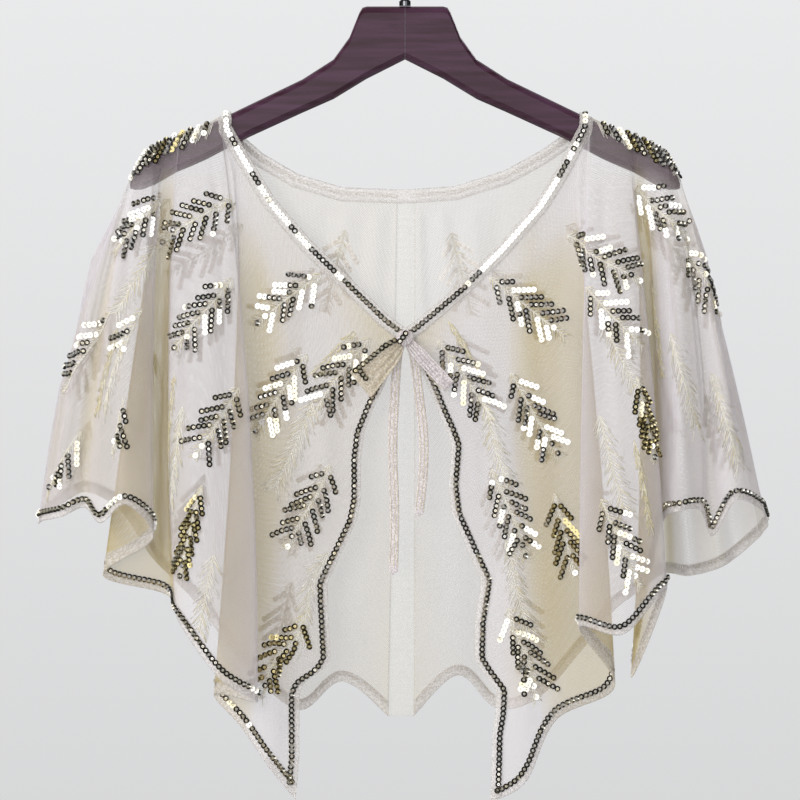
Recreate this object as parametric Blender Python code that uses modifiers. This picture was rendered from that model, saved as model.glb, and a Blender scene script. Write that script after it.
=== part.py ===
"""A sheer sequin capelet that hangs on a wooden coat hanger.

Units are metres and +Z is up. The front faces -Y. The origin is the inside top of the hanger's hook,
where a clothes rail touches it. "Left" and "right" are the viewer's, looking at the front.

Each half of the cape is a front and a back wall that meet along the shoulder and down the side fold.
A wall is a grid: its columns run from the neck or the shoulder down to the hem, and a table of fold
lines gives the columns at the crests and hollows of the flutes. The bindings are strips that continue
the same grids past their edges.
"""

import math
from collections import namedtuple

import bmesh
import bpy
from mathutils import Vector

# Cloth and bindings
CLOTH = 0.0012
BINDING = 0.0018
BAND_WIDTH = 0.009
SEAM_GAP = 0.00035
BINDING_GAP = 0.0011
SIDE_GAP_HALF = 0.0005
STEEPEST_HEM = 0.5
HEM_STEP = 0.5
NEAR_HEM = 0.9
SAME_PLACE = 1e-6

# Hanger
WOOD_THICKNESS = 0.012
WOOD_ROUNDING = 0.0055
WOOD_END_FROM = 0.2110
WOOD_END_REACH = 0.0130
WOOD_TOP = -0.062
WOOD_CORNER_STEPS = 2
WOOD_EXTRA_STATIONS = (0.070, 0.097, 0.125, 0.150, 0.173)
FULLEST_ROUNDING = 0.98
DRAPE_RADIUS = 0.0075
DRAPE_LIFT = 0.0014
SLOPE_STEP = 0.004
STEEPEST_LIFT = 2.0

# Hook
WIRE_RADIUS = 0.002
HOOK_INNER_RADIUS = 0.020
HOOK_ARC = (-62.0, 205.0)
HOOK_STEPS = 26
STEM = ((0.0, 0.0), (0.0, 0.004), (0.0006, 0.008))
STEM_SWING = (0.0040, 0.0035)
FERRULE_HEIGHT = 0.005
FERRULE_RADIUS = 0.0048
FERRULE_CHAMFER = 0.0013
FERRULE_STEPS = 20
FERRULE_MERGE = 0.0001

# Rows of a wall: the first follow the bend over the hanger, the rest share the height out
BEND_ANGLES = (0.0, 30.0, 60.0, 90.0)
FRONT_ROWS = (0.05, 0.12, 0.20, 0.28, 0.36, 0.42, 0.49, 0.55, 0.63, 0.71, 0.765, 0.81, 0.90, 1.0)
BACK_ROWS = (0.08, 0.17, 0.26, 0.36, 0.46, 0.56, 0.66, 0.76, 0.86, 0.94, 1.0)
MID_SHARE = 0.45
FRONT_COLUMNS = 3
BACK_COLUMNS = 2

# Outlines, as (x, z) from the centre outwards
WOOD_UPPER = (
    (0.0, -0.062), (0.031, -0.062), (0.0345, -0.063), (0.037, -0.067), (0.045, -0.087), (0.058, -0.105),
    (0.083, -0.121), (0.110, -0.134), (0.139, -0.148), (0.161, -0.1585), (0.185, -0.167), (0.202, -0.176),
    (0.2135, -0.184), (0.2195, -0.196), (0.2225, -0.2045),
)
WOOD_LOWER = (
    (0.0, -0.105), (0.012, -0.109), (0.058, -0.137), (0.083, -0.148), (0.129, -0.169), (0.164, -0.1875),
    (0.187, -0.197), (0.206, -0.2085), (0.2165, -0.2112), (0.2225, -0.2095),
)
NECK_LEFT = (
    (0.0, -0.3350), (-0.020, -0.3200), (-0.055, -0.2860), (-0.084, -0.2580), (-0.1135, -0.2235),
    (-0.1355, -0.1880), (-0.1500, -0.1620),
)
NECK_RIGHT = (
    (0.0, -0.3350), (0.013, -0.3260), (0.050, -0.2950), (0.0825, -0.2625), (0.1135, -0.2275),
    (0.1295, -0.2020), (0.1505, -0.1622),
)
NECK_BACK_LEFT = (
    (0.0, -0.2200), (-0.052, -0.2180), (-0.091, -0.2065), (-0.121, -0.1890), (-0.136, -0.1760),
    (-0.1500, -0.1620),
)
NECK_BACK_RIGHT = (
    (0.0, -0.2200), (0.042, -0.2170), (0.085, -0.2035), (0.115, -0.1870), (0.133, -0.1745),
    (0.1505, -0.1622),
)
FRONT_EDGE_LEFT = (
    (-0.0008, -0.330), (-0.017, -0.370), (-0.024, -0.384), (-0.033, -0.407), (-0.0356, -0.428),
    (-0.0356, -0.461), (-0.039, -0.478), (-0.0535, -0.509), (-0.0625, -0.528), (-0.062, -0.546),
    (-0.060, -0.589), (-0.066, -0.598), (-0.081, -0.608), (-0.085, -0.617), (-0.085, -0.667),
    (-0.088, -0.702),
)
FRONT_EDGE_RIGHT = (
    (0.0008, -0.330), (0.020, -0.373), (0.026, -0.388), (0.033, -0.404), (0.0376, -0.4165),
    (0.035, -0.450), (0.0376, -0.4715), (0.0535, -0.508), (0.0615, -0.526), (0.0565, -0.560),
    (0.056, -0.589), (0.063, -0.600), (0.0735, -0.614), (0.0725, -0.635), (0.070, -0.650),
    (0.069, -0.702),
)
SIDE_LEFT = (
    (-0.2252, -0.2110), (-0.2400, -0.2400), (-0.2540, -0.2670), (-0.2600, -0.2920), (-0.2670, -0.3290),
    (-0.2800, -0.3710), (-0.2880, -0.4160), (-0.2960, -0.4720), (-0.2970, -0.4810),
)
SIDE_RIGHT = (
    (0.2252, -0.2110), (0.2360, -0.2400), (0.2450, -0.2670), (0.2550, -0.3290), (0.2640, -0.3820),
    (0.2790, -0.4310), (0.2900, -0.4640), (0.2940, -0.4830),
)

# Fold lines of the walls, from the centre outwards. top_x is where the line leaves the neck or the
# shoulder, mid is a little under halfway down, and y is how far the cloth stands from the hanger's plane.
# follow says how much of the front edge's own outline the line takes.
Fold = namedtuple("Fold", "name top_x top_y mid_x mid_y hem_x hem_y hem_z follow")
FRONT_LEFT = (
    Fold("edge", -0.0008, 0.0078, -0.0420, 0.0120, -0.0880, 0.0220, -0.7020, 1.0),
    Fold("inset", -0.0112, 0.0078, -0.0524, 0.0125, -0.0984, 0.0230, -0.6910, 1.0),
    Fold("belly", -0.0500, 0.0078, -0.0760, 0.0150, -0.1130, 0.0260, -0.6720, 0.5),
    Fold("panel side", -0.0900, 0.0078, -0.1060, 0.0120, -0.1320, 0.0200, -0.6440, 0.1),
    Fold("flute 3 back", -0.1270, 0.0078, -0.1380, 0.0120, -0.1540, 0.0150, -0.6180, 0.0),
    Fold("flute 3 right", -0.1500, 0.0078, -0.1270, 0.0280, -0.1180, 0.0440, -0.6220, 0.0),
    Fold("flute 3 crest", -0.1650, 0.0078, -0.1570, 0.0400, -0.1480, 0.0600, -0.6020, 0.0),
    Fold("flute 3 left", -0.1780, 0.0078, -0.1870, 0.0270, -0.1800, 0.0440, -0.5600, 0.0),
    Fold("trough", -0.1850, 0.0075, -0.1930, 0.0110, -0.1920, 0.0130, -0.5380, 0.0),
    Fold("flute 2 back", -0.1920, 0.0075, -0.2160, 0.0120, -0.2430, 0.0210, -0.5220, 0.0),
    Fold("flute 2 right", -0.1980, 0.0075, -0.2020, 0.0250, -0.2020, 0.0390, -0.4920, 0.0),
    Fold("flute 2 crest", -0.2050, 0.0075, -0.2170, 0.0390, -0.2220, 0.0570, -0.4640, 0.0),
    Fold("flute 2 left", -0.2110, 0.0075, -0.2340, 0.0310, -0.2430, 0.0470, -0.4790, 0.0),
    Fold("rim trough", -0.2160, 0.0070, -0.2430, 0.0200, -0.2570, 0.0340, -0.4670, 0.0),
    Fold("rim crest", -0.2200, 0.0066, -0.2560, 0.0200, -0.2740, 0.0360, -0.4740, 0.0),
    Fold("side turn", -0.2228, 0.0048, -0.2660, 0.0100, -0.2920, 0.0180, -0.4780, 0.0),
)
FRONT_RIGHT = (
    Fold("edge", 0.0008, 0.0078, 0.0400, 0.0120, 0.0690, 0.0220, -0.7020, 1.0),
    Fold("inset", 0.0112, 0.0078, 0.0504, 0.0125, 0.0794, 0.0230, -0.7000, 1.0),
    Fold("belly", 0.0500, 0.0078, 0.0720, 0.0150, 0.0990, 0.0260, -0.6850, 0.5),
    Fold("panel side", 0.0900, 0.0078, 0.1040, 0.0120, 0.1220, 0.0200, -0.6380, 0.1),
    Fold("flute A back", 0.1270, 0.0078, 0.1520, 0.0120, 0.1690, 0.0150, -0.6120, 0.0),
    Fold("flute A left", 0.1505, 0.0078, 0.1430, 0.0290, 0.1390, 0.0420, -0.5630, 0.0),
    Fold("flute A crest", 0.1650, 0.0078, 0.1700, 0.0420, 0.1740, 0.0600, -0.5670, 0.0),
    Fold("flute A right", 0.1770, 0.0078, 0.1950, 0.0300, 0.2090, 0.0440, -0.5320, 0.0),
    Fold("flute A tongue", 0.1840, 0.0075, 0.1900, 0.0130, 0.1820, 0.0230, -0.6040, 0.0),
    Fold("trough", 0.1900, 0.0075, 0.1980, 0.0100, 0.1990, 0.0120, -0.5180, 0.0),
    Fold("flute B left", 0.1960, 0.0075, 0.2060, 0.0210, 0.2080, 0.0290, -0.4770, 0.0),
    Fold("flute B crest", 0.2030, 0.0075, 0.2180, 0.0330, 0.2190, 0.0450, -0.4700, 0.0),
    Fold("flute B right", 0.2090, 0.0075, 0.2290, 0.0270, 0.2360, 0.0350, -0.4690, 0.0),
    Fold("rim trough", 0.2150, 0.0072, 0.2370, 0.0190, 0.2470, 0.0270, -0.4900, 0.0),
    Fold("flute C crest", 0.2195, 0.0066, 0.2480, 0.0250, 0.2650, 0.0420, -0.4610, 0.0),
    Fold("side turn", 0.2228, 0.0048, 0.2560, 0.0110, 0.2880, 0.0240, -0.4700, 0.0),
)
BACK_LEFT = (
    Fold("seam", -0.0060, 0.0078, -0.0090, 0.0110, -0.0135, 0.0150, -0.6380, 0.0),
    Fold("peak", -0.0350, 0.0078, -0.0420, 0.0120, -0.0510, 0.0200, -0.6100, 0.0),
    Fold("low", -0.0700, 0.0078, -0.0760, 0.0160, -0.0850, 0.0280, -0.6340, 0.0),
    Fold("inner hollow", -0.1100, 0.0078, -0.1140, 0.0130, -0.1210, 0.0180, -0.6080, 0.0),
    Fold("flute 1 right", -0.1500, 0.0078, -0.1450, 0.0220, -0.1450, 0.0380, -0.5820, 0.0),
    Fold("flute 1 crest", -0.1660, 0.0078, -0.1660, 0.0330, -0.1700, 0.0520, -0.5500, 0.0),
    Fold("flute 1 left", -0.1760, 0.0078, -0.1880, 0.0220, -0.1930, 0.0330, -0.5240, 0.0),
    Fold("trough", -0.1880, 0.0075, -0.2030, 0.0110, -0.2080, 0.0140, -0.5060, 0.0),
    Fold("flute 2 crest", -0.2040, 0.0075, -0.2210, 0.0300, -0.2330, 0.0430, -0.4720, 0.0),
    Fold("rim trough", -0.2140, 0.0072, -0.2390, 0.0160, -0.2580, 0.0210, -0.4560, 0.0),
    Fold("rim crest", -0.2195, 0.0066, -0.2520, 0.0200, -0.2750, 0.0330, -0.4620, 0.0),
    Fold("side turn", -0.2228, 0.0048, -0.2650, 0.0100, -0.2915, 0.0170, -0.4730, 0.0),
)
BACK_RIGHT = (
    Fold("seam", 0.0075, 0.0078, 0.0075, 0.0110, 0.0070, 0.0150, -0.6380, 0.0),
    Fold("peak", 0.0320, 0.0078, 0.0380, 0.0120, 0.0430, 0.0200, -0.6050, 0.0),
    Fold("low", 0.0650, 0.0078, 0.0720, 0.0160, 0.0740, 0.0280, -0.6320, 0.0),
    Fold("inner hollow", 0.1080, 0.0078, 0.1080, 0.0130, 0.1080, 0.0200, -0.6240, 0.0),
    Fold("flute 1 left", 0.1505, 0.0078, 0.1440, 0.0220, 0.1430, 0.0380, -0.5880, 0.0),
    Fold("flute 1 crest", 0.1660, 0.0078, 0.1660, 0.0330, 0.1700, 0.0520, -0.5560, 0.0),
    Fold("flute 1 right", 0.1760, 0.0078, 0.1870, 0.0220, 0.1930, 0.0330, -0.5360, 0.0),
    Fold("trough", 0.1880, 0.0075, 0.2020, 0.0110, 0.2110, 0.0140, -0.5220, 0.0),
    Fold("flute 2 crest", 0.2040, 0.0075, 0.2180, 0.0300, 0.2330, 0.0430, -0.5250, 0.0),
    Fold("rim trough", 0.2140, 0.0072, 0.2330, 0.0160, 0.2560, 0.0230, -0.5180, 0.0),
    Fold("rim crest", 0.2195, 0.0066, 0.2450, 0.0200, 0.2730, 0.0330, -0.5080, 0.0),
    Fold("side turn", 0.2228, 0.0048, 0.2560, 0.0100, 0.2890, 0.0170, -0.4920, 0.0),
)

# Tie: the knot's half sizes and place, each loop and each tail
KNOT_CENTRE = Vector((0.0, -0.0156, -0.3310))
KNOT_HALF = Vector((0.0075, 0.0063, 0.0070))
Loop = namedtuple("Loop", "name tip_x tip_z width back_y front_y")
LOOPS = (
    Loop("tie_loop_left", -0.0400, -0.3640, 0.0150, -0.0172, -0.0222),
    Loop("tie_loop_right", 0.0355, -0.3700, 0.0110, -0.0172, -0.0218),
)
KNOT_WRAPS = 3.0
KNOT_GROOVE = 0.08
KNOT_CLEARANCE = 0.00056
KNOT_SEGMENTS = (16, 10)
CUTTER_SEGMENTS = (20, 12)
LOOP_STEPS = 8
LOOP_TURN_STEPS = 4
LOOP_OPENS = 0.45
LOOP_PINCH = 0.35
TAIL_RADIUS = 0.0028
TAIL_SPACING = 0.0125
ROUTE_STEPS = 20
TAIL_LEFT = (
    (-0.0020, -0.0125, -0.3330), (-0.0060, -0.0125, -0.3480), (-0.0085, -0.0130, -0.3800),
    (-0.0100, -0.0135, -0.4200), (-0.0085, -0.0130, -0.4700), (-0.0095, -0.0120, -0.5215),
)
TAIL_RIGHT = (
    (0.0020, -0.0125, -0.3330), (0.0075, -0.0125, -0.3480), (0.0110, -0.0130, -0.3750),
    (0.0150, -0.0135, -0.4100), (0.0145, -0.0130, -0.4400), (0.0110, -0.0120, -0.4740),
)

# Colours: base colour, roughness, metallic
TULLE = ((0.84, 0.80, 0.78, 1.0), 0.75, 0.0)
TULLE_BACK = ((0.80, 0.76, 0.64, 1.0), 0.75, 0.0)
TAPE = ((0.88, 0.86, 0.82, 1.0), 0.70, 0.0)
PLUM_WOOD = ((0.085, 0.022, 0.035, 1.0), 0.35, 0.0)
STEEL = ((0.62, 0.62, 0.64, 1.0), 0.22, 1.0)
SHARP_ANGLE = 50.0


def clear_scene():
    for old in list(bpy.data.objects):
        bpy.data.objects.remove(old, do_unlink=True)


def collection_named(name):
    group = bpy.data.collections.new(name)
    bpy.context.scene.collection.children.link(group)
    return group


def material_of(name, look):
    colour, roughness, metallic = look
    material = bpy.data.materials.new(name)
    material.use_nodes = True
    shader = material.node_tree.nodes["Principled BSDF"]
    shader.inputs["Base Color"].default_value = colour
    shader.inputs["Roughness"].default_value = roughness
    shader.inputs["Metallic"].default_value = metallic
    return material


def between(outline, value, key=0, wanted=1):
    """Reads an outline: the wanted coordinate where the key coordinate has the given value."""
    rows = sorted(outline, key=lambda point: point[key])
    if value <= rows[0][key]:
        return rows[0][wanted]
    for low, high in zip(rows, rows[1:]):
        if value <= high[key]:
            share = (value - low[key]) / (high[key] - low[key])
            return low[wanted] + share * (high[wanted] - low[wanted])
    return rows[-1][wanted]


def shoulder_z(x):
    """The height of the cloth's middle surface where it lies on the hanger's upper edge."""
    across = min(abs(x), WOOD_UPPER[-1][0])
    here = between(WOOD_UPPER, across)
    rise = between(WOOD_UPPER, across + SLOPE_STEP) - between(WOOD_UPPER, across - SLOPE_STEP)
    return here + DRAPE_LIFT * min(math.hypot(1.0, rise / (2 * SLOPE_STEP)), STEEPEST_LIFT)


def bend(x, z, radius):
    """How far the cloth has turned down over the hanger: 0 on its top line, 1 on its flat face."""
    if abs(x) > WOOD_UPPER[-1][0]:
        return 1.0
    drop = (shoulder_z(x) - z) / radius
    if drop >= 1.0:
        return 1.0
    return math.sqrt(max(0.0, 1.0 - (1.0 - drop) ** 2))


def catmull(rows, place):
    """A smooth curve through rows of numbers, at place 0 to len(rows) - 1."""
    index = min(int(place), len(rows) - 2)
    t = place - index
    before = rows[max(index - 1, 0)]
    low, high = rows[index], rows[index + 1]
    after = rows[min(index + 2, len(rows) - 1)]
    values = []
    for a, b, c, d in zip(before, low, high, after):
        bent = 2 * b + (c - a) * t + (2 * a - 5 * b + 4 * c - d) * t**2 + (3 * b - a - 3 * c + d) * t**3
        values.append(0.5 * bent)
    return values


def through_three(top, mid, hem, share):
    """A parabola with its values at the top, at MID_SHARE and at the hem."""
    at_top = (share - MID_SHARE) * (share - 1.0) / MID_SHARE
    at_mid = share * (share - 1.0) / (MID_SHARE * (MID_SHARE - 1.0))
    at_hem = share * (share - MID_SHARE) / (1.0 - MID_SHARE)
    return at_top * top + at_mid * mid + at_hem * hem


class Wall:
    """One quarter of the cape: its columns, and the points on them.

    A place runs across the fold lines, and its last step ends on the side fold. A share runs down a
    column, from 0 at the neck or the shoulder to 1 at the hem.
    """

    def __init__(self, folds, neck, side, facing, edge=None):
        self.folds = folds
        self.neck = neck
        self.side = side
        self.facing = facing
        self.edge = edge
        self.last = len(folds)
        self.start = 1.0 if edge else 0.0
        self.rows = FRONT_ROWS if edge else BACK_ROWS
        self.columns = FRONT_COLUMNS if edge else BACK_COLUMNS
        self.outwards = math.copysign(1.0, folds[-1].top_x)

    def line_at(self, place):
        """The fold line at any place, read smoothly between the table's rows."""
        rows = [fold[1:] for fold in self.folds]
        return Fold("between", *catmull(rows, min(place, self.last - 1)))

    def on_neck(self, place):
        return abs(self.line_at(place).top_x) < abs(self.neck[-1][0]) - SAME_PLACE

    def top_z(self, place):
        top_x = self.line_at(place).top_x
        return between(self.neck, top_x) if self.on_neck(place) else shoulder_z(top_x)

    def edge_shift(self, place, share, z):
        """How far the front edge's outline lies from its own smooth line, at this height.

        Past the binding, a whole row takes the shift of its first point, so no column crosses another.
        """
        smooth = through_three(self.folds[0].top_x, self.folds[0].mid_x, self.folds[0].hem_x, share)
        inset_top = self.top_z(1.0)
        level = z if place <= 1.0 else inset_top + share * (self.folds[1].hem_z - inset_top)
        return between(self.edge, level, 1, 0) - smooth

    def fold_point(self, place, share):
        line = self.line_at(place)
        top_z = self.top_z(place)
        z = top_z + share * (line.hem_z - top_z)
        x = through_three(line.top_x, line.mid_x, line.hem_x, share)
        y = through_three(line.top_y, line.mid_y, line.hem_y, share)
        if self.edge and line.follow > 0:
            x += line.follow * self.edge_shift(place, share, z)
        y = max(y * bend(x, z, DRAPE_RADIUS), SIDE_GAP_HALF)
        return Vector((x, self.facing * y, z))

    def side_point(self, share):
        top_z, hem_z = self.side[0][1], self.side[-1][1]
        z = top_z + share * (hem_z - top_z)
        return Vector((between(self.side, z, 1, 0), self.facing * SIDE_GAP_HALF, z))

    def point(self, place, share):
        if place <= self.last - 1:
            return self.fold_point(place, share)
        return self.fold_point(self.last - 1, share).lerp(self.side_point(share), place - self.last + 1)

    def height(self, place):
        return self.point(place, 0.0).z - self.point(place, 1.0).z

    def hem_share(self, place, width, gap=0.0):
        """How far down this column the cloth is the given width from the hem, measured square to it.

        The gap beside the binding is wider where the hem runs steeply, because the folds are tight there.
        """
        after, before = min(place + HEM_STEP, self.last), max(place - HEM_STEP, 0.0)
        along = self.point(after, 1.0) - self.point(before, 1.0)
        down = self.point(place, 1.0) - self.point(place, NEAR_HEM)
        across = max(along.normalized().cross(down.normalized()).length, STEEPEST_HEM)
        return 1.0 - (width / across + gap / across**2) / self.height(place)

    def places(self):
        count = int(round((self.last - self.start) * self.columns))
        return [self.start + index / self.columns for index in range(count + 1)]

    def bend_shares(self, place):
        drops = [DRAPE_RADIUS * (1.0 - math.cos(math.radians(angle))) for angle in BEND_ANGLES]
        return [drop / self.height(place) for drop in drops]

    def column(self, place):
        """The panel's points at one place. A column that starts at the neck has none over the hanger."""
        end = self.hem_share(place, BAND_WIDTH, BINDING_GAP)
        if self.on_neck(place):
            over, first = [None] * (len(BEND_ANGLES) - 1), 0.0
        else:
            shares = self.bend_shares(place)
            over, first = [self.point(place, share) for share in shares[:-1]], shares[-1]
        down = [first] + [first + share * (end - first) for share in self.rows]
        return over + [self.point(place, share) for share in down]

    def panel_grid(self):
        return [self.column(place) for place in self.places()]

    def hem_grid(self):
        grid = []
        for place in self.places():
            grid.append([self.point(place, self.hem_share(place, BAND_WIDTH)), self.point(place, 1.0)])
        return grid

    def edge_grid(self):
        """The front edge's binding, made from the panel's first column, moved towards the front edge."""
        path = [point for point in self.column(1.0) if point is not None]
        path.append(self.point(1.0, 1.0))
        inner = []
        for before, here, after in zip([path[0]] + path, path, path[1:] + [path[-1]]):
            run = (after - before).normalized()
            inner.append(here + Vector((run.z, 0.0, -run.x)) * self.outwards * BINDING_GAP)
        outer = [point - Vector((self.outwards * BAND_WIDTH, 0.0, 0.0)) for point in inner]
        inner[0].z -= SEAM_GAP
        outer[0].z = self.point(0.0, 0.0).z - SEAM_GAP
        outer[-1].z = self.point(0.0, 1.0).z
        return [inner, outer]

    def neck_grid(self):
        """The neck's binding, made from the panel's top points, moved across the gap and the band."""
        places = [place for place in self.places() if self.on_neck(place)]
        if self.edge:
            places.insert(0, 0.0)
        path = [self.point(place, 0.0) for place in places]
        thicker = (BINDING - CLOTH) / 2
        grid = []
        for before, here, after in zip([path[0]] + path, path, path[1:] + [path[-1]]):
            run = Vector((after.x - before.x, 0.0, after.z - before.z)).normalized()
            square = Vector((-run.z, 0.0, run.x)) * -self.outwards
            base = here + Vector((0.0, self.facing * thicker, 0.0))
            column = [base - square * shift for shift in (BINDING_GAP, BINDING_GAP + BAND_WIDTH)]
            if self.edge:
                for point in column:
                    point.x = self.outwards * max(self.outwards * point.x, SIDE_GAP_HALF)
            grid.append(column)
        shoulder = next(place for place in self.places() if not self.on_neck(place))
        for angle, share in reversed(list(zip(BEND_ANGLES, self.bend_shares(shoulder)))):
            here = self.point(shoulder, share)
            lift = Vector((0.0, self.facing * math.sin(math.radians(angle)), math.cos(math.radians(angle))))
            column = []
            for shift in (BINDING_GAP, BINDING_GAP + BAND_WIDTH):
                x = here.x - self.outwards * shift
                climb = shoulder_z(x) - shoulder_z(here.x)
                column.append(Vector((x, here.y, here.z + climb)) + lift * thicker)
            grid.append(column)
        return grid


def grid_object(name, grid, thickness, material, group):
    """A sheet through columns of points, thickened evenly to both sides."""
    mesh = bpy.data.meshes.new(name)
    rows = len(grid[0])
    number = {}
    points = []
    for column, line in enumerate(grid):
        for row, point in enumerate(line):
            if point is not None:
                number[column, row] = len(points)
                points.append(point)
    faces = []
    for column in range(len(grid) - 1):
        for row in range(rows - 1):
            corners = ((column, row), (column, row + 1), (column + 1, row + 1), (column + 1, row))
            if all(corner in number for corner in corners):
                faces.append([number[corner] for corner in corners])
    mesh.from_pydata(points, [], faces)
    mesh.shade_smooth()
    thing = bpy.data.objects.new(name, mesh)
    group.objects.link(thing)
    thing.data.materials.append(material)
    shell = thing.modifiers.new("thickness", "SOLIDIFY")
    shell.thickness = thickness
    shell.offset = 0.0
    shell.use_even_offset = False
    return thing


def loft_object(name, sections, material, group):
    """Closes a run of rings, which all have the same number of points, into a solid with flat ends."""
    mesh = bpy.data.meshes.new(name)
    count = len(sections[0])
    points = [point for ring in sections for point in ring]
    faces = []
    for ring in range(len(sections) - 1):
        for step in range(count):
            a = ring * count + step
            b = ring * count + (step + 1) % count
            faces.append((a, b, b + count, a + count))
    faces.append(tuple(reversed(range(count))))
    faces.append(tuple(range(len(points) - count, len(points))))
    mesh.from_pydata(points, [], faces)
    work = bmesh.new()
    work.from_mesh(mesh)
    bmesh.ops.recalc_face_normals(work, faces=work.faces)
    work.to_mesh(mesh)
    work.free()
    mesh.shade_smooth()
    mesh.set_sharp_from_angle(angle=math.radians(SHARP_ANGLE))
    thing = bpy.data.objects.new(name, mesh)
    group.objects.link(thing)
    thing.data.materials.append(material)
    return thing


def wood_half(x):
    """Half the arm's thickness, which rounds off towards the arm's end."""
    past = max(x - WOOD_END_FROM, 0.0) / WOOD_END_REACH
    return WOOD_THICKNESS / 2 * math.sqrt(1.0 - past**2)


def wood_section(x, side):
    """A ring round the hanger's arm at one x: a rectangle with rounded corners."""
    top, bottom = between(WOOD_UPPER, x), between(WOOD_LOWER, x)
    half_height = (top - bottom) / 2
    middle = (top + bottom) / 2
    half = wood_half(x)
    rounding = min(WOOD_ROUNDING, half_height * FULLEST_ROUNDING, half * FULLEST_ROUNDING)
    ring = []
    for corner in range(4):
        sign_y = 1.0 if corner in (0, 3) else -1.0
        sign_z = 1.0 if corner in (0, 1) else -1.0
        for step in range(WOOD_CORNER_STEPS + 1):
            angle = math.pi / 2 * (corner + step / WOOD_CORNER_STEPS)
            y = sign_y * (half - rounding) + rounding * math.cos(angle)
            z = middle + sign_z * (half_height - rounding) + rounding * math.sin(angle)
            ring.append(Vector((side * x, y, z)))
    return ring


def make_arm(name, side, material, group):
    stations = {SEAM_GAP / 2, *WOOD_EXTRA_STATIONS}
    stations.update(x for x, _ in WOOD_UPPER if x > 0)
    return loft_object(name, [wood_section(x, side) for x in sorted(stations)], material, group)


def curve_tube(name, points, radius, resolution, material, group):
    curve = bpy.data.curves.new(name, "CURVE")
    curve.dimensions = "3D"
    curve.bevel_depth = radius
    curve.bevel_resolution = resolution
    curve.use_fill_caps = True
    line = curve.splines.new("POLY")
    line.points.add(len(points) - 1)
    for place, point in zip(line.points, points):
        place.co = (*point, 1.0)
    thing = bpy.data.objects.new(name, curve)
    group.objects.link(thing)
    curve.materials.append(material)
    return thing


def make_hook(material, group):
    """The hook's wire: a short stem, a swing out to the side, and an arc over the rail to its free end."""
    radius = HOOK_INNER_RADIUS + WIRE_RADIUS
    centre_z = -HOOK_INNER_RADIUS
    foot = WOOD_TOP + FERRULE_HEIGHT + 2 * SEAM_GAP
    route = [(x, foot + rise) for x, rise in STEM]
    route.append((STEM_SWING[0], centre_z - radius - STEM_SWING[1]))
    first, last = HOOK_ARC
    for step in range(HOOK_STEPS + 1):
        angle = math.radians(first + (last - first) * step / HOOK_STEPS)
        route.append((radius * math.cos(angle), centre_z + radius * math.sin(angle)))
    points = [Vector((x, 0.0, z)) for x, z in route]
    curve_tube("hook", points, WIRE_RADIUS, 2, material, group)


def make_ferrule(material, group):
    """A turned collar between the wood and the wire."""
    profile = (
        (0.0, FERRULE_HEIGHT), (FERRULE_RADIUS - FERRULE_CHAMFER, FERRULE_HEIGHT),
        (FERRULE_RADIUS, FERRULE_HEIGHT - FERRULE_CHAMFER), (FERRULE_RADIUS, 0.0), (0.0, 0.0),
    )
    mesh = bpy.data.meshes.new("hook_ferrule")
    mesh.from_pydata([(x, 0.0, z) for x, z in profile], [(i, i + 1) for i in range(len(profile) - 1)], [])
    thing = bpy.data.objects.new("hook_ferrule", mesh)
    group.objects.link(thing)
    mesh.materials.append(material)
    thing.location = (0.0, 0.0, WOOD_TOP + SEAM_GAP)
    turn = thing.modifiers.new("turn", "SCREW")
    turn.steps = FERRULE_STEPS
    turn.render_steps = FERRULE_STEPS
    turn.use_merge_vertices = True
    turn.merge_threshold = FERRULE_MERGE


def make_cloth(walls, materials, group):
    tulle, back_tulle, tape = materials
    for name, wall in walls.items():
        material = tulle if wall.edge else back_tulle
        grid_object(name, wall.panel_grid(), CLOTH, material, group)
        grid_object("hem_binding_" + name, wall.hem_grid(), BINDING, tape, group)
        if wall.edge:
            grid_object("edge_binding_" + name, wall.edge_grid(), BINDING, tape, group)
            grid_object("neck_binding_" + name, wall.neck_grid(), BINDING, tape, group)
    left, right = walls["back_left"], walls["back_right"]
    whole_neck = list(reversed(left.neck_grid())) + right.neck_grid()
    grid_object("neck_binding_back", whole_neck, BINDING, tape, group)
    make_seam(left, right, tape, group)


def make_seam(left, right, material, group):
    """The centre back seam's tape, which fills the strip between the two back panels."""
    grid = []
    for wall in (left, right):
        rows = wall.column(0.0)[len(BEND_ANGLES) - 1:] + [wall.point(0.0, 1.0)]
        grid.append([point - Vector((wall.outwards * BINDING_GAP, 0.0, 0.0)) for point in rows])
    grid_object("centre_back_seam", grid, BINDING, material, group)


def make_knot(material, group):
    """The bow's knot, a small wrapped bundle."""
    mesh = bpy.data.meshes.new("tie_knot")
    work = bmesh.new()
    around, upwards = KNOT_SEGMENTS
    bmesh.ops.create_uvsphere(work, u_segments=around, v_segments=upwards, radius=1.0)
    for corner in work.verts:
        wrap = 1.0 - KNOT_GROOVE * math.cos(KNOT_WRAPS * math.pi * corner.co.x) ** 2
        corner.co = Vector((
            corner.co.x * KNOT_HALF.x, corner.co.y * KNOT_HALF.y * wrap, corner.co.z * KNOT_HALF.z * wrap,
        )) + KNOT_CENTRE
    work.to_mesh(mesh)
    work.free()
    mesh.shade_smooth()
    thing = bpy.data.objects.new("tie_knot", mesh)
    group.objects.link(thing)
    mesh.materials.append(material)


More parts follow.
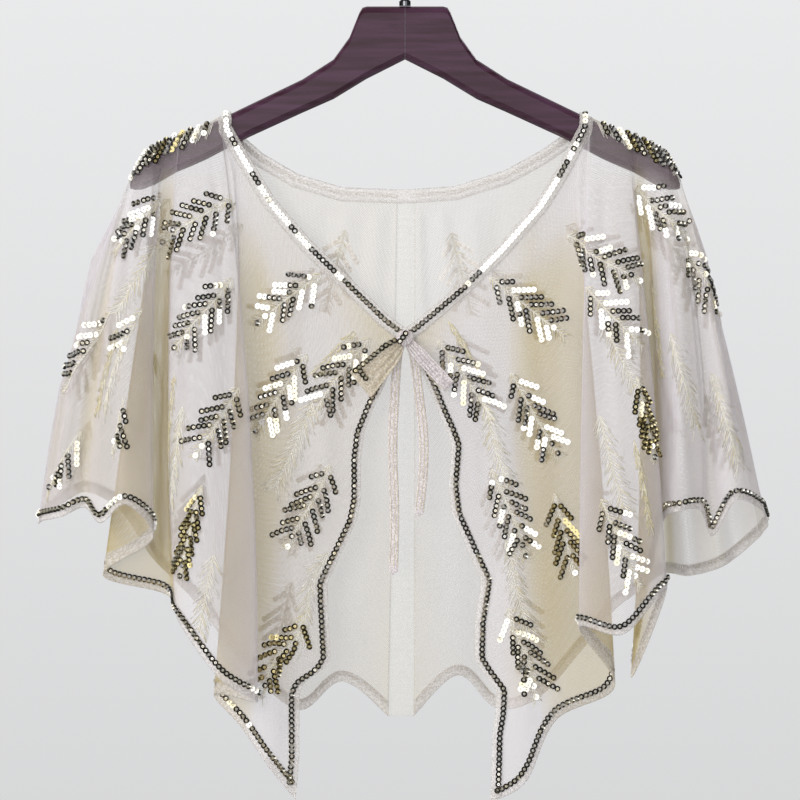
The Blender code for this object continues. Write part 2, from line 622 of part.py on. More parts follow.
def make_knot_cutter(group):
    """The knot with the seam gap round it, which trims what comes out of it."""
    mesh = bpy.data.meshes.new("knot_cutter")
    work = bmesh.new()
    around, upwards = CUTTER_SEGMENTS
    bmesh.ops.create_uvsphere(work, u_segments=around, v_segments=upwards, radius=1.0)
    for corner in work.verts:
        stretched = [c * (half + KNOT_CLEARANCE) for c, half in zip(corner.co, KNOT_HALF)]
        corner.co = Vector(stretched) + KNOT_CENTRE
    work.to_mesh(mesh)
    work.free()
    cutter = bpy.data.objects.new("knot_cutter", mesh)
    cutter.hide_render = True
    cutter.display_type = "WIRE"
    group.objects.link(cutter)
    return cutter


def trim(thing, cutter):
    cut = thing.modifiers.new("trim at the knot", "BOOLEAN")
    cut.operation = "DIFFERENCE"
    cut.object = cutter


def make_loop(loop, cutter, material, group):
    """One loop of the bow: a strip of tulle that leaves the knot, turns over at its tip and comes back."""
    start = Vector((KNOT_CENTRE.x, KNOT_CENTRE.z))
    tip = Vector((loop.tip_x, loop.tip_z))
    out = (tip - start).normalized()
    side = Vector((-out.y, out.x))
    turn = (loop.back_y - loop.front_y) / 2
    reach = (tip - start).length - turn
    middle_y = (loop.back_y + loop.front_y) / 2
    path = []
    for step in range(LOOP_STEPS + 1):
        path.append((step / LOOP_STEPS, 1.0, 0.0))
    for step in range(1, LOOP_TURN_STEPS):
        angle = math.pi * step / LOOP_TURN_STEPS
        path.append((1.0, math.cos(angle), math.sin(angle)))
    for step in range(LOOP_STEPS, -1, -1):
        path.append((step / LOOP_STEPS, -1.0, 0.0))
    grid = []
    for share, layer, round_tip in path:
        spread = LOOP_PINCH + (1.0 - LOOP_PINCH) * math.sin(min(share / LOOP_OPENS, 1.0) * math.pi / 2)
        along = share * reach + round_tip * turn
        y = KNOT_CENTRE.y + (middle_y - KNOT_CENTRE.y) * spread + layer * turn * spread
        centre = start + out * along
        column = []
        for across in (-0.5, 0.0, 0.5):
            place = centre + side * across * loop.width * spread
            column.append(Vector((place.x, y, place.y)))
        grid.append(column)
    thing = grid_object(loop.name, grid, CLOTH, material, group)
    trim(thing, cutter)


def smooth_route(points, spacing):
    """Points read at an even spacing from a smooth curve through a route."""
    count = ROUTE_STEPS * (len(points) - 1)
    fine = [Vector(catmull(points, step / ROUTE_STEPS)) for step in range(count + 1)]
    length = sum((b - a).length for a, b in zip(fine, fine[1:]))
    count = max(int(round(length / spacing)), 2)
    route, walked, target = [fine[0]], 0.0, length / count
    for a, b in zip(fine, fine[1:]):
        step = (b - a).length
        while walked + step >= target * len(route) and len(route) < count:
            route.append(a.lerp(b, (target * len(route) - walked) / step))
        walked += step
    return route + [fine[-1]]


def make_tail(name, points, cutter, material, group):
    """One tail of the tie: a tube of rolled tulle, trimmed where it leaves the knot."""
    route = smooth_route(points, TAIL_SPACING)
    tube = curve_tube(name + "_curve", route, TAIL_RADIUS, 2, material, group)
    evaluated = tube.evaluated_get(bpy.context.evaluated_depsgraph_get())
    mesh = bpy.data.meshes.new_from_object(evaluated)
    work = bmesh.new()
    work.from_mesh(mesh)
    bmesh.ops.remove_doubles(work, verts=work.verts, dist=SAME_PLACE)
    work.to_mesh(mesh)
    work.free()
    thing = bpy.data.objects.new(name, mesh)
    thing.matrix_world = tube.matrix_world
    bpy.data.objects.remove(tube, do_unlink=True)
    group.objects.link(thing)
    trim(thing, cutter)


def main():
    clear_scene()
    group = collection_named("sequin capelet on a hanger")
    cutters = collection_named("cutters")
    tulle = material_of("front tulle", TULLE)
    back_tulle = material_of("back tulle", TULLE_BACK)
    tape = material_of("binding tape", TAPE)
    wood = material_of("plum wood", PLUM_WOOD)
    steel = material_of("hook steel", STEEL)

    make_arm("hanger_arm_left", -1.0, wood, group)
    make_arm("hanger_arm_right", 1.0, wood, group)
    make_hook(steel, group)
    make_ferrule(steel, group)

    walls = {
        "front_left": Wall(FRONT_LEFT, NECK_LEFT, SIDE_LEFT, -1.0, FRONT_EDGE_LEFT),
        "front_right": Wall(FRONT_RIGHT, NECK_RIGHT, SIDE_RIGHT, -1.0, FRONT_EDGE_RIGHT),
        "back_left": Wall(BACK_LEFT, NECK_BACK_LEFT, SIDE_LEFT, 1.0),
        "back_right": Wall(BACK_RIGHT, NECK_BACK_RIGHT, SIDE_RIGHT, 1.0),
    }
    make_cloth(walls, (tulle, back_tulle, tape), group)

    make_knot(tape, group)
    cutter = make_knot_cutter(cutters)
    for loop in LOOPS:
        make_loop(loop, cutter, tape, group)
    make_tail("tie_tail_left", TAIL_LEFT, cutter, tape, group)
    make_tail("tie_tail_right", TAIL_RIGHT, cutter, tape, group)


main()
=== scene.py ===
"""The looks of a sheer sequin capelet that hangs on a wooden hanger.

Metres, +Z up, front towards -Y. "Left" and "right" are the viewer's. A wall of cloth is read by its place,
which runs across the fold lines from the centre outwards, and its share, which runs down a column from 0
at the neck or the shoulder to 1 at the hem. Everything on the cloth is laid out in those two numbers.
"""

import math
import random
from collections import namedtuple

import bmesh
import bpy
import numpy as np
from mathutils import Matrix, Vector


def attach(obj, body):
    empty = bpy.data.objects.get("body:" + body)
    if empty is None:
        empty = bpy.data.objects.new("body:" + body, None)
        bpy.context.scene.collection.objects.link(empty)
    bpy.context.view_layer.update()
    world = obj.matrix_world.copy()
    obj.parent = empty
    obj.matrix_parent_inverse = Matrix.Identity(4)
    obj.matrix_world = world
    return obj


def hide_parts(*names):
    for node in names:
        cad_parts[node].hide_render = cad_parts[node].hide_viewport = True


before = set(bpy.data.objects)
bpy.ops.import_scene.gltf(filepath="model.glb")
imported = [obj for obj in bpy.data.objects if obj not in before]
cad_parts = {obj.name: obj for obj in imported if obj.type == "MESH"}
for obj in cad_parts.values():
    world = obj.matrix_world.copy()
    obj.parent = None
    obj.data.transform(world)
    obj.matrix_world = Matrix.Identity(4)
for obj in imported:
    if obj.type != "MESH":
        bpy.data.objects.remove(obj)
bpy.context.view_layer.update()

# Cloth: the solids' own sizes
BAND_WIDTH = 0.009
BINDING_GAP = 0.0011
SIDE_GAP_HALF = 0.0005
STEEPEST_HEM = 0.5
HEM_STEP = 0.5
NEAR_HEM = 0.9
SAME_PLACE = 1e-6
MID_SHARE = 0.45
DRAPE_RADIUS = 0.0075
DRAPE_LIFT = 0.0014
SLOPE_STEP = 0.004
STEEPEST_LIFT = 2.0

# Reading the cloth: small steps over it, and what a viewer of a wall sees at a point
SHARE_STEP = 0.01
PLACE_STEP = 0.05
TURNED_AWAY = 0.15
SIGHT_WIDTH = 0.0035

# Fine mesh
NET = 0.00035
BAND_HALF = 0.0006
BAND_SHELL = 0.0003
BEND_STEPS = 6
FRONT_FINE = 12
BACK_FINE = 9
# The net of a front starts at this column, so that its edge lies inside the band
FIRST_FRONT_COLUMN = 4
FRONT_ROWS = 116
BACK_ROWS = 96
HEM_FINE = 20
HEM_PATH_FINE = 16
EDGE_ROWS = 190
EDGE_PATH_ROWS = 160
EDGE_PATH_SHARES = (0.012, 0.985)
NECK_STEP = 0.04
NECK_TOP_STEPS = 8
SEAM_ROWS = 110
# The lines of points across a band, from its inner border at 1 to its fold at 0
BAND_STEPS = (1.0, 0.55, 0.12, 0.0)

# Where the net is denser, and where painted shade makes it darker and creamier in its troughs, in places and
# shares
CREST_REACH = 2.2
HOLLOW_STARTS, HOLLOW_FULL = 0.30, 0.66
GATHERED_SHARE = 0.16
GATHERED_PLACES = 1.6
TIGHT_NET = 0.38
TIGHT_SHARES = (0.07, 0.13)
MOST_EDGE_ON = 0.42

# Sequins and thread
SEQUIN_RADIUS = 0.0025
SEQUIN_PITCH = 0.0041
SEQUIN_SIDES = 10
SEQUIN_FLAT = 0.44
CUPPED = 0.36
PRESSED = 0.03
ROW_INSET = 0.0068
SEQUIN_FACES_FRONT = 0.45
LEAF_STEP = 0.0098
STEM_ROOM = 0.0056
STEM_STEP = 0.003
STEM_START = 0.009
STEM_END = 0.021
STEM_BACK_STEPS = 6
# Where stems may run, as shares and as places
STEM_TOP_ROOM = 0.012
STEM_REACHES = 0.965
STEM_SIDE_ROOM = 0.1
# Where sequins and strokes may lie, as shares and as places
TOP_ROOM = 0.002
SEWN_TO = 0.97
EDGE_ROOM = 0.3
SIDE_ROOM = 0.05
STROKE_STEP = 0.0019
THREAD = 0.00028
SEQUIN_LIFT = 0.0009
ROW_LIFT = BAND_HALF + BAND_SHELL + 0.0003
SEWING_LIFT = BAND_HALF + BAND_SHELL
SEWING_INSET = BAND_WIDTH - 0.0009
STITCH_PITCH = 0.0032
STITCH = 0.0022
# How far from the neck's line its row of sequins and its two lines of sewing lie
NECK_ROW = 0.0052
NECK_SEWING = (0.0006, 0.0094)
# The way that pressed sequins face: half way between the viewer in front and the softbox to the viewer's left
GLINT = Vector((-0.215, -0.975, 0.045))
SEED = 11

# Outlines, as (x, z) from the centre outwards
WOOD_UPPER = (
    (0.0, -0.062), (0.031, -0.062), (0.0345, -0.063), (0.037, -0.067), (0.045, -0.087), (0.058, -0.105),
    (0.083, -0.121), (0.11, -0.134), (0.139, -0.148), (0.161, -0.1585), (0.185, -0.167), (0.202, -0.176),
    (0.2135, -0.184), (0.2195, -0.196), (0.2225, -0.2045),
)
NECK_LEFT = (
    (0.0, -0.335), (-0.02, -0.32), (-0.055, -0.286), (-0.084, -0.258), (-0.1135, -0.2235),
    (-0.1355, -0.188), (-0.15, -0.162),
)
NECK_RIGHT = (
    (0.0, -0.335), (0.013, -0.326), (0.05, -0.295), (0.0825, -0.2625), (0.1135, -0.2275),
    (0.1295, -0.202), (0.1505, -0.1622),
)
NECK_BACK_LEFT = (
    (0.0, -0.22), (-0.052, -0.218), (-0.091, -0.2065), (-0.121, -0.189), (-0.136, -0.176),
    (-0.15, -0.162),
)
NECK_BACK_RIGHT = (
    (0.0, -0.22), (0.042, -0.217), (0.085, -0.2035), (0.115, -0.187), (0.133, -0.1745),
    (0.1505, -0.1622),
)
FRONT_EDGE_LEFT = (
    (-0.0008, -0.33), (-0.017, -0.37), (-0.024, -0.384), (-0.033, -0.407), (-0.0356, -0.428),
    (-0.0356, -0.461), (-0.039, -0.478), (-0.0535, -0.509), (-0.0625, -0.528), (-0.062, -0.546),
    (-0.06, -0.589), (-0.066, -0.598), (-0.081, -0.608), (-0.085, -0.617), (-0.085, -0.667),
    (-0.088, -0.702),
)
FRONT_EDGE_RIGHT = (
    (0.0008, -0.33), (0.02, -0.373), (0.026, -0.388), (0.033, -0.404), (0.0376, -0.4165),
    (0.035, -0.45), (0.0376, -0.4715), (0.0535, -0.508), (0.0615, -0.526), (0.0565, -0.56),
    (0.056, -0.589), (0.063, -0.6), (0.0735, -0.614), (0.0725, -0.635), (0.07, -0.65),
    (0.069, -0.702),
)
SIDE_LEFT = (
    (-0.2252, -0.211), (-0.24, -0.24), (-0.254, -0.267), (-0.26, -0.292), (-0.267, -0.329),
    (-0.28, -0.371), (-0.288, -0.416), (-0.296, -0.472), (-0.297, -0.481),
)
SIDE_RIGHT = (
    (0.2252, -0.211), (0.236, -0.24), (0.245, -0.267), (0.255, -0.329), (0.264, -0.382),
    (0.279, -0.431), (0.29, -0.464), (0.294, -0.483),
)

# Fold lines of the walls, from the centre outwards: where each is at the top, at mid height and at the hem,
# and how far it follows the curve of the front edge
Fold = namedtuple("Fold", "name top_x top_y mid_x mid_y hem_x hem_y hem_z follow", defaults=(0.0,))
FRONT_LEFT = (
    ("edge", -0.0008, 0.0078, -0.0420, 0.0120, -0.0880, 0.0220, -0.7020, 1.0),
    ("inset", -0.0112, 0.0078, -0.0524, 0.0125, -0.0984, 0.0230, -0.6910, 1.0),
    ("belly", -0.0500, 0.0078, -0.0760, 0.0150, -0.1130, 0.0260, -0.6720, 0.5),
    ("panel side", -0.0900, 0.0078, -0.1060, 0.0120, -0.1320, 0.0200, -0.6440, 0.1),
    ("flute 3 back", -0.1270, 0.0078, -0.1380, 0.0120, -0.1540, 0.0150, -0.6180),
    ("flute 3 right", -0.1500, 0.0078, -0.1270, 0.0280, -0.1180, 0.0440, -0.6220),
    ("flute 3 crest", -0.1650, 0.0078, -0.1570, 0.0400, -0.1480, 0.0600, -0.6020),
    ("flute 3 left", -0.1780, 0.0078, -0.1870, 0.0270, -0.1800, 0.0440, -0.5600),
    ("trough", -0.1850, 0.0075, -0.1930, 0.0110, -0.1920, 0.0130, -0.5380),
    ("flute 2 back", -0.1920, 0.0075, -0.2160, 0.0120, -0.2430, 0.0210, -0.5220),
    ("flute 2 right", -0.1980, 0.0075, -0.2020, 0.0250, -0.2020, 0.0390, -0.4920),
    ("flute 2 crest", -0.2050, 0.0075, -0.2170, 0.0390, -0.2220, 0.0570, -0.4640),
    ("flute 2 left", -0.2110, 0.0075, -0.2340, 0.0310, -0.2430, 0.0470, -0.4790),
    ("rim trough", -0.2160, 0.0070, -0.2430, 0.0200, -0.2570, 0.0340, -0.4670),
    ("rim crest", -0.2200, 0.0066, -0.2560, 0.0200, -0.2740, 0.0360, -0.4740),
    ("side turn", -0.2228, 0.0048, -0.2660, 0.0100, -0.2920, 0.0180, -0.4780),
)
FRONT_RIGHT = (
    ("edge", 0.0008, 0.0078, 0.0400, 0.0120, 0.0690, 0.0220, -0.7020, 1.0),
    ("inset", 0.0112, 0.0078, 0.0504, 0.0125, 0.0794, 0.0230, -0.7000, 1.0),
    ("belly", 0.0500, 0.0078, 0.0720, 0.0150, 0.0990, 0.0260, -0.6850, 0.5),
    ("panel side", 0.0900, 0.0078, 0.1040, 0.0120, 0.1220, 0.0200, -0.6380, 0.1),
    ("flute A back", 0.1270, 0.0078, 0.1520, 0.0120, 0.1690, 0.0150, -0.6120),
    ("flute A left", 0.1505, 0.0078, 0.1430, 0.0290, 0.1390, 0.0420, -0.5630),
    ("flute A crest", 0.1650, 0.0078, 0.1700, 0.0420, 0.1740, 0.0600, -0.5670),
    ("flute A right", 0.1770, 0.0078, 0.1950, 0.0300, 0.2090, 0.0440, -0.5320),
    ("flute A tongue", 0.1840, 0.0075, 0.1900, 0.0130, 0.1820, 0.0230, -0.6040),
    ("trough", 0.1900, 0.0075, 0.1980, 0.0100, 0.1990, 0.0120, -0.5180),
    ("flute B left", 0.1960, 0.0075, 0.2060, 0.0210, 0.2080, 0.0290, -0.4770),
    ("flute B crest", 0.2030, 0.0075, 0.2180, 0.0330, 0.2190, 0.0450, -0.4700),
    ("flute B right", 0.2090, 0.0075, 0.2290, 0.0270, 0.2360, 0.0350, -0.4690),
    ("rim trough", 0.2150, 0.0072, 0.2370, 0.0190, 0.2470, 0.0270, -0.4900),
    ("flute C crest", 0.2195, 0.0066, 0.2480, 0.0250, 0.2650, 0.0420, -0.4610),
    ("side turn", 0.2228, 0.0048, 0.2560, 0.0110, 0.2880, 0.0240, -0.4700),
)
BACK_LEFT = (
    ("seam", -0.0060, 0.0078, -0.0090, 0.0110, -0.0135, 0.0150, -0.6380),
    ("peak", -0.0350, 0.0078, -0.0420, 0.0120, -0.0510, 0.0200, -0.6100),
    ("low", -0.0700, 0.0078, -0.0760, 0.0160, -0.0850, 0.0280, -0.6340),
    ("inner hollow", -0.1100, 0.0078, -0.1140, 0.0130, -0.1210, 0.0180, -0.6080),
    ("flute 1 right", -0.1500, 0.0078, -0.1450, 0.0220, -0.1450, 0.0380, -0.5820),
    ("flute 1 crest", -0.1660, 0.0078, -0.1660, 0.0330, -0.1700, 0.0520, -0.5500),
    ("flute 1 left", -0.1760, 0.0078, -0.1880, 0.0220, -0.1930, 0.0330, -0.5240),
    ("trough", -0.1880, 0.0075, -0.2030, 0.0110, -0.2080, 0.0140, -0.5060),
    ("flute 2 crest", -0.2040, 0.0075, -0.2210, 0.0300, -0.2330, 0.0430, -0.4720),
    ("rim trough", -0.2140, 0.0072, -0.2390, 0.0160, -0.2580, 0.0210, -0.4560),
    ("rim crest", -0.2195, 0.0066, -0.2520, 0.0200, -0.2750, 0.0330, -0.4620),
    ("side turn", -0.2228, 0.0048, -0.2650, 0.0100, -0.2915, 0.0170, -0.4730),
)
BACK_RIGHT = (
    ("seam", 0.0075, 0.0078, 0.0075, 0.0110, 0.0070, 0.0150, -0.6380),
    ("peak", 0.0320, 0.0078, 0.0380, 0.0120, 0.0430, 0.0200, -0.6050),
    ("low", 0.0650, 0.0078, 0.0720, 0.0160, 0.0740, 0.0280, -0.6320),
    ("inner hollow", 0.1080, 0.0078, 0.1080, 0.0130, 0.1080, 0.0200, -0.6240),
    ("flute 1 left", 0.1505, 0.0078, 0.1440, 0.0220, 0.1430, 0.0380, -0.5880),
    ("flute 1 crest", 0.1660, 0.0078, 0.1660, 0.0330, 0.1700, 0.0520, -0.5560),
    ("flute 1 right", 0.1760, 0.0078, 0.1870, 0.0220, 0.1930, 0.0330, -0.5360),
    ("trough", 0.1880, 0.0075, 0.2020, 0.0110, 0.2110, 0.0140, -0.5220),
    ("flute 2 crest", 0.2040, 0.0075, 0.2180, 0.0300, 0.2330, 0.0430, -0.5250),
    ("rim trough", 0.2140, 0.0072, 0.2330, 0.0160, 0.2560, 0.0230, -0.5180),
    ("rim crest", 0.2195, 0.0066, 0.2450, 0.0200, 0.2730, 0.0330, -0.5080),
    ("side turn", 0.2228, 0.0048, 0.2560, 0.0100, 0.2890, 0.0170, -0.4920),
)

# Each wall: its folds, its neck, its side, the way it faces in y and, on a front, its free edge
WALLS = {
    "front_left": (FRONT_LEFT, NECK_LEFT, SIDE_LEFT, -1.0, FRONT_EDGE_LEFT),
    "front_right": (FRONT_RIGHT, NECK_RIGHT, SIDE_RIGHT, -1.0, FRONT_EDGE_RIGHT),
    "back_left": (BACK_LEFT, NECK_BACK_LEFT, SIDE_LEFT, 1.0),
    "back_right": (BACK_RIGHT, NECK_BACK_RIGHT, SIDE_RIGHT, 1.0),
}

# Creases: place at the top, how far it leans by the bottom, half width in places, height of the
# ridge (below 0 is a trough), and the shares where it starts and ends
Crease = namedtuple("Crease", "place lean width height top bottom")
CREASES = {
    "front_left": (
        (1.6, 0.3, 0.22, 0.0016, 0.05, 0.55), (2.3, -0.2, 0.18, -0.0014, 0.2, 0.9),
        (2.8, 0.4, 0.25, 0.0018, 0.02, 0.6), (3.5, 0.1, 0.2, -0.0016, 0.1, 0.8),
        (4.6, -0.2, 0.14, 0.002, 0.0, 0.35), (5.5, 0.1, 0.16, -0.0018, 0.05, 0.7),
        (6.4, 0.0, 0.15, 0.0016, 0.25, 0.95), (7.4, 0.1, 0.12, 0.0014, 0.0, 0.5),
        (9.3, 0.0, 0.14, -0.0014, 0.2, 0.8), (10.6, 0.1, 0.14, 0.0016, 0.05, 0.6),
        (11.5, 0.0, 0.14, -0.0012, 0.3, 0.95), (13.4, 0.2, 0.18, 0.0014, 0.2, 0.85),
        (14.5, 0.1, 0.16, -0.0012, 0.35, 0.95),
    ),
    "front_right": (
        (1.7, 0.2, 0.2, -0.0014, 0.08, 0.6), (2.4, -0.3, 0.24, 0.0016, 0.25, 0.92),
        (3.1, 0.3, 0.18, -0.0016, 0.05, 0.55), (3.7, 0.0, 0.2, 0.0016, 0.15, 0.85),
        (4.5, -0.1, 0.13, 0.0018, 0.0, 0.4), (5.6, 0.1, 0.16, -0.0016, 0.1, 0.75),
        (6.5, 0.0, 0.15, 0.0016, 0.3, 0.95), (7.5, 0.0, 0.12, -0.0012, 0.05, 0.5),
        (9.5, 0.1, 0.13, 0.0012, 0.1, 0.65), (10.5, 0.0, 0.13, -0.0012, 0.2, 0.9),
        (12.6, 0.1, 0.16, 0.0014, 0.15, 0.8), (14.4, 0.1, 0.18, -0.0014, 0.3, 0.95),
    ),
    "back_left": (
        (0.25, 0.1, 0.09, 0.0014, 0.0, 0.3), (0.6, 0.1, 0.1, -0.0012, 0.0, 0.26),
        (0.95, 0.1, 0.1, 0.0014, 0.0, 0.34), (1.35, 0.1, 0.1, -0.0012, 0.0, 0.28),
        (1.8, 0.2, 0.12, 0.0014, 0.0, 0.45), (2.3, 0.2, 0.14, -0.0014, 0.0, 0.6),
        (2.9, 0.1, 0.16, 0.0016, 0.05, 0.7), (3.6, 0.0, 0.16, -0.0014, 0.1, 0.85),
        (5.4, 0.1, 0.16, 0.0014, 0.1, 0.8), (6.6, 0.0, 0.16, -0.0014, 0.2, 0.9),
        (8.5, 0.1, 0.18, 0.0014, 0.15, 0.85), (10.4, 0.1, 0.18, -0.0012, 0.3, 0.95),
    ),
    "back_right": (
        (0.2, 0.1, 0.09, -0.0012, 0.0, 0.28), (0.5, 0.1, 0.1, 0.0014, 0.0, 0.32),
        (0.9, 0.1, 0.1, -0.0012, 0.0, 0.26), (1.25, 0.1, 0.1, 0.0014, 0.0, 0.36),
        (1.7, 0.2, 0.12, -0.0014, 0.0, 0.42), (2.2, 0.2, 0.14, 0.0016, 0.0, 0.62),
        (2.8, 0.1, 0.16, -0.0014, 0.05, 0.72), (3.5, 0.0, 0.16, 0.0014, 0.1, 0.85),
        (5.5, 0.1, 0.16, -0.0014, 0.1, 0.8), (6.5, 0.0, 0.16, 0.0014, 0.2, 0.9),
        (8.4, 0.1, 0.18, -0.0014, 0.15, 0.85), (10.5, 0.1, 0.18, 0.0012, 0.3, 0.95),
    ),
}
# Over what part of its own length a crease starts, and over what shares and places all of them fade at the
# top, at the side and towards the hem, where some of their height stays
CREASE_ENDS = 0.12
CREASE_CALM = 0.04
SIDE_CALM = 0.5
HEM_CALM = 0.03
HEM_KEEPS = 0.3

# Leaves: where the middle is seen, the stem's turn outwards from the column in degrees, rows a side, how far
# the outer and the inner rows spread from the stem (0 leaves that side out), and what they are made of
Leaf = namedtuple("Leaf", "x z turn rows outer inner kind")
LEAVES = {
    "front_left": (
        (-0.241, -0.35, 12, 5, 18, 18, "glitter"), (-0.192, -0.394, 8, 6, 14, 14, "glitter"),
        (-0.052, -0.333, 30, 3, 18, 18, "glitter"), (-0.206, -0.23, 40, 5, 33, 33, "mixed"),
        (-0.158, -0.242, 62, 6, 42, 44, "dark"), (-0.156, -0.306, 43, 6, 38, 40, "mixed"),
        (-0.093, -0.288, 47, 5, 42, 42, "bright"), (-0.252, -0.334, 28, 6, 45, 0, "mixed"),
        (-0.233, -0.346, 14, 5, 0, 26, "thread"), (-0.215, -0.322, 20, 3, 50, 0, "bright"),
        (-0.096, -0.368, 28, 6, 41, 42, "mixed"), (-0.05, -0.352, 22, 6, 42, 40, "mixed"),
        (-0.142, -0.395, 35, 5, 43, 43, "dark"), (-0.276, -0.423, 30, 4, 0, 34, "mixed"),
        (-0.231, -0.395, 12, 3, 0, 30, "dark"), (-0.174, -0.482, 18, 6, 24, 22, "gold"),
        (-0.077, -0.46, 16, 6, 46, 43, "dark"), (-0.1, -0.578, 14, 6, 44, 28, "gold"),
        (-0.162, -0.535, 14, 6, 34, 34, "thread"), (-0.085, -0.41, 18, 6, 36, 36, "thread"),
        (-0.073, -0.535, 10, 6, 32, 32, "thread"), (-0.187, -0.418, 10, 6, 22, 22, "thread"),
        (-0.208, -0.278, 30, 5, 34, 34, "thread"),
    ),
    "front_right": (
        (0.1985, -0.318, 8, 6, 14, 14, "glitter"), (0.192, -0.44, 8, 5, 14, 14, "glitter"),
        (0.046, -0.342, 16, 4, 16, 16, "glitter"), (0.198, -0.236, 45, 5, 46, 36, "mixed"),
        (0.158, -0.243, 60, 6, 42, 44, "dark"), (0.099, -0.298, 46, 6, 42, 40, "bright"),
        (0.16, -0.31, 42, 5, 46, 38, "mixed"), (0.235, -0.283, 28, 5, 40, 42, "mixed"),
        (0.05, -0.358, 19, 6, 43, 43, "mixed"), (0.104, -0.386, 26, 6, 40, 40, "bright"),
        (0.079, -0.466, 13, 6, 44, 38, "mixed"), (0.166, -0.492, 23, 6, 44, 32, "mixed"),
        (0.127, -0.48, 10, 5, 30, 32, "gold"), (0.097, -0.579, 10, 6, 42, 32, "dark"),
        (0.088, -0.523, 10, 6, 34, 34, "thread"), (0.068, -0.408, 12, 6, 34, 34, "thread"),
        (0.173, -0.345, 24, 6, 36, 36, "thread"), (0.194, -0.39, 10, 5, 20, 20, "gold"),
        (0.224, -0.356, 16, 6, 30, 30, "thread"), (0.16, -0.425, 14, 6, 34, 34, "thread"),
        (0.252, -0.39, 12, 6, 30, 30, "thread"),
    ),
    "back_left": (
        (-0.05, -0.269, 12, 5, 45, 45, "bright"), (-0.158, -0.242, 60, 6, 42, 44, "mixed"),
        (-0.093, -0.29, 46, 5, 42, 42, "bright"), (-0.156, -0.308, 42, 6, 38, 40, "mixed"),
        (-0.05, -0.356, 20, 6, 42, 40, "mixed"), (-0.097, -0.37, 27, 6, 41, 42, "bright"),
        (-0.143, -0.397, 34, 5, 43, 43, "dark"), (-0.078, -0.462, 15, 6, 46, 43, "mixed"),
        (-0.176, -0.466, 18, 5, 30, 30, "gold"), (-0.1, -0.556, 12, 5, 44, 30, "mixed"),
        (-0.206, -0.234, 40, 5, 36, 36, "dark"), (-0.25, -0.338, 24, 6, 40, 36, "mixed"),
        (-0.208, -0.37, 16, 5, 32, 32, "thread"), (-0.26, -0.42, 14, 4, 34, 34, "thread"),
    ),
    "back_right": (
        (0.045, -0.269, 12, 5, 45, 45, "bright"), (0.158, -0.243, 60, 6, 42, 44, "dark"),
        (0.099, -0.3, 46, 6, 42, 40, "mixed"), (0.16, -0.312, 40, 5, 44, 38, "bright"),
        (0.05, -0.36, 18, 6, 43, 43, "bright"), (0.103, -0.388, 25, 6, 40, 40, "mixed"),
        (0.079, -0.468, 13, 6, 44, 38, "mixed"), (0.16, -0.47, 20, 5, 36, 32, "dark"),
        (0.097, -0.564, 10, 5, 42, 32, "gold"), (0.198, -0.238, 44, 5, 42, 36, "mixed"),
        (0.233, -0.286, 26, 5, 40, 42, "mixed"), (0.208, -0.37, 16, 5, 32, 32, "thread"),
        (0.256, -0.4, 14, 5, 34, 34, "dark"),
    ),
}

# Where the neck's rows of sequins shine as one looks outwards from the tie: the share of the row's length
# that each run ends at, in turn cupped and pressed
NECK_RUNS = {
    "front_left": (0.29, 0.33, 0.44, 0.50, 0.55, 0.71, 0.76, 0.87, 0.90, 1.0),
    "front_right": (0.27, 0.285, 0.34, 0.74, 0.82, 0.84, 0.86, 0.88, 0.945, 0.99),
    "back_left": (0.02, 0.05, 0.42, 0.62, 0.66, 1.0),
    "back_right": (0.02, 0.22, 0.60, 0.66, 0.90, 1.0),
}

# Materials: the size of the cells of the net and of the doubled net
NET_CELL = 0.00125
TAPE_CELL = 0.0011

# Hanger
GLUE_HALF = (0.00014, 0.0057)
GLUE_SPAN = (-0.0624, -0.1046)

# Tie
KNOT_CENTRE = Vector((0.0, -0.0156, -0.3310))
KNOT_HALF = Vector((0.0075, 0.0063, 0.0070))
KNOT_RINGS = 39
KNOT_SIDES = 32
KNOT_LIFT = 0.0012
LOOP_LIFT = 0.0008
LOOP_GOLD = 0.45
# Where a few sequins lie over the knot
KNOT_ROW = ((0.0016, -0.0203, -0.3255), (-0.0018, -0.0218, -0.3305), (-0.0052, -0.0200, -0.3350))
# A loop's flare is how far its lower edge has spread by its tip
Loop = namedtuple("Loop", "name tip_x tip_z width back_y front_y flare")
LOOPS = (
    Loop("tie_loop_left", -0.0400, -0.3640, 0.0150, -0.0172, -0.0222, 0.0115),
    Loop("tie_loop_right", 0.0355, -0.3700, 0.0110, -0.0172, -0.0218, 0.0),
)
LOOP_START = 0.12
LOOP_STEPS = 20
LOOP_OPENS = 0.45
LOOP_PINCH = 0.35
TAIL_WIDTH = 0.0078
TAIL_THICK = 0.0026
TAIL_SIDES = 20
# Where a tail's threads lie across it, as shares of its width
TAIL_THREADS = (-0.36, 0.05, 0.36)
TAIL_LEFT = (
    (-0.002, -0.0125, -0.333), (-0.006, -0.0125, -0.348), (-0.0085, -0.013, -0.38),
    (-0.01, -0.0135, -0.42), (-0.0085, -0.013, -0.47), (-0.0095, -0.012, -0.5215),
)
TAIL_RIGHT = (
    (0.002, -0.0125, -0.333), (0.0075, -0.0125, -0.348), (0.011, -0.013, -0.375),
    (0.015, -0.0135, -0.41), (0.0145, -0.013, -0.44), (0.011, -0.012, -0.474),
)
# A loose end of thread below the right loop
LOOSE_THREAD = (
    (0.0128, -0.0168, -0.35), (0.018, -0.0165, -0.3592), (0.0273, -0.0166, -0.3703),
    (0.0347, -0.0176, -0.3736),
)


# Studio
FLOOR_Z = -1.30
FLOOR_RADIUS = 2.2
LIGHTS_AIM = Vector((0.0, 0.0, -0.38))
VIEW_CENTRE = (-0.0041, -0.3807)
VIEW_WIDTH = 0.648
LENS = 180.0
SENSOR = 36.0


# ---------------------------------------- reading the cloth

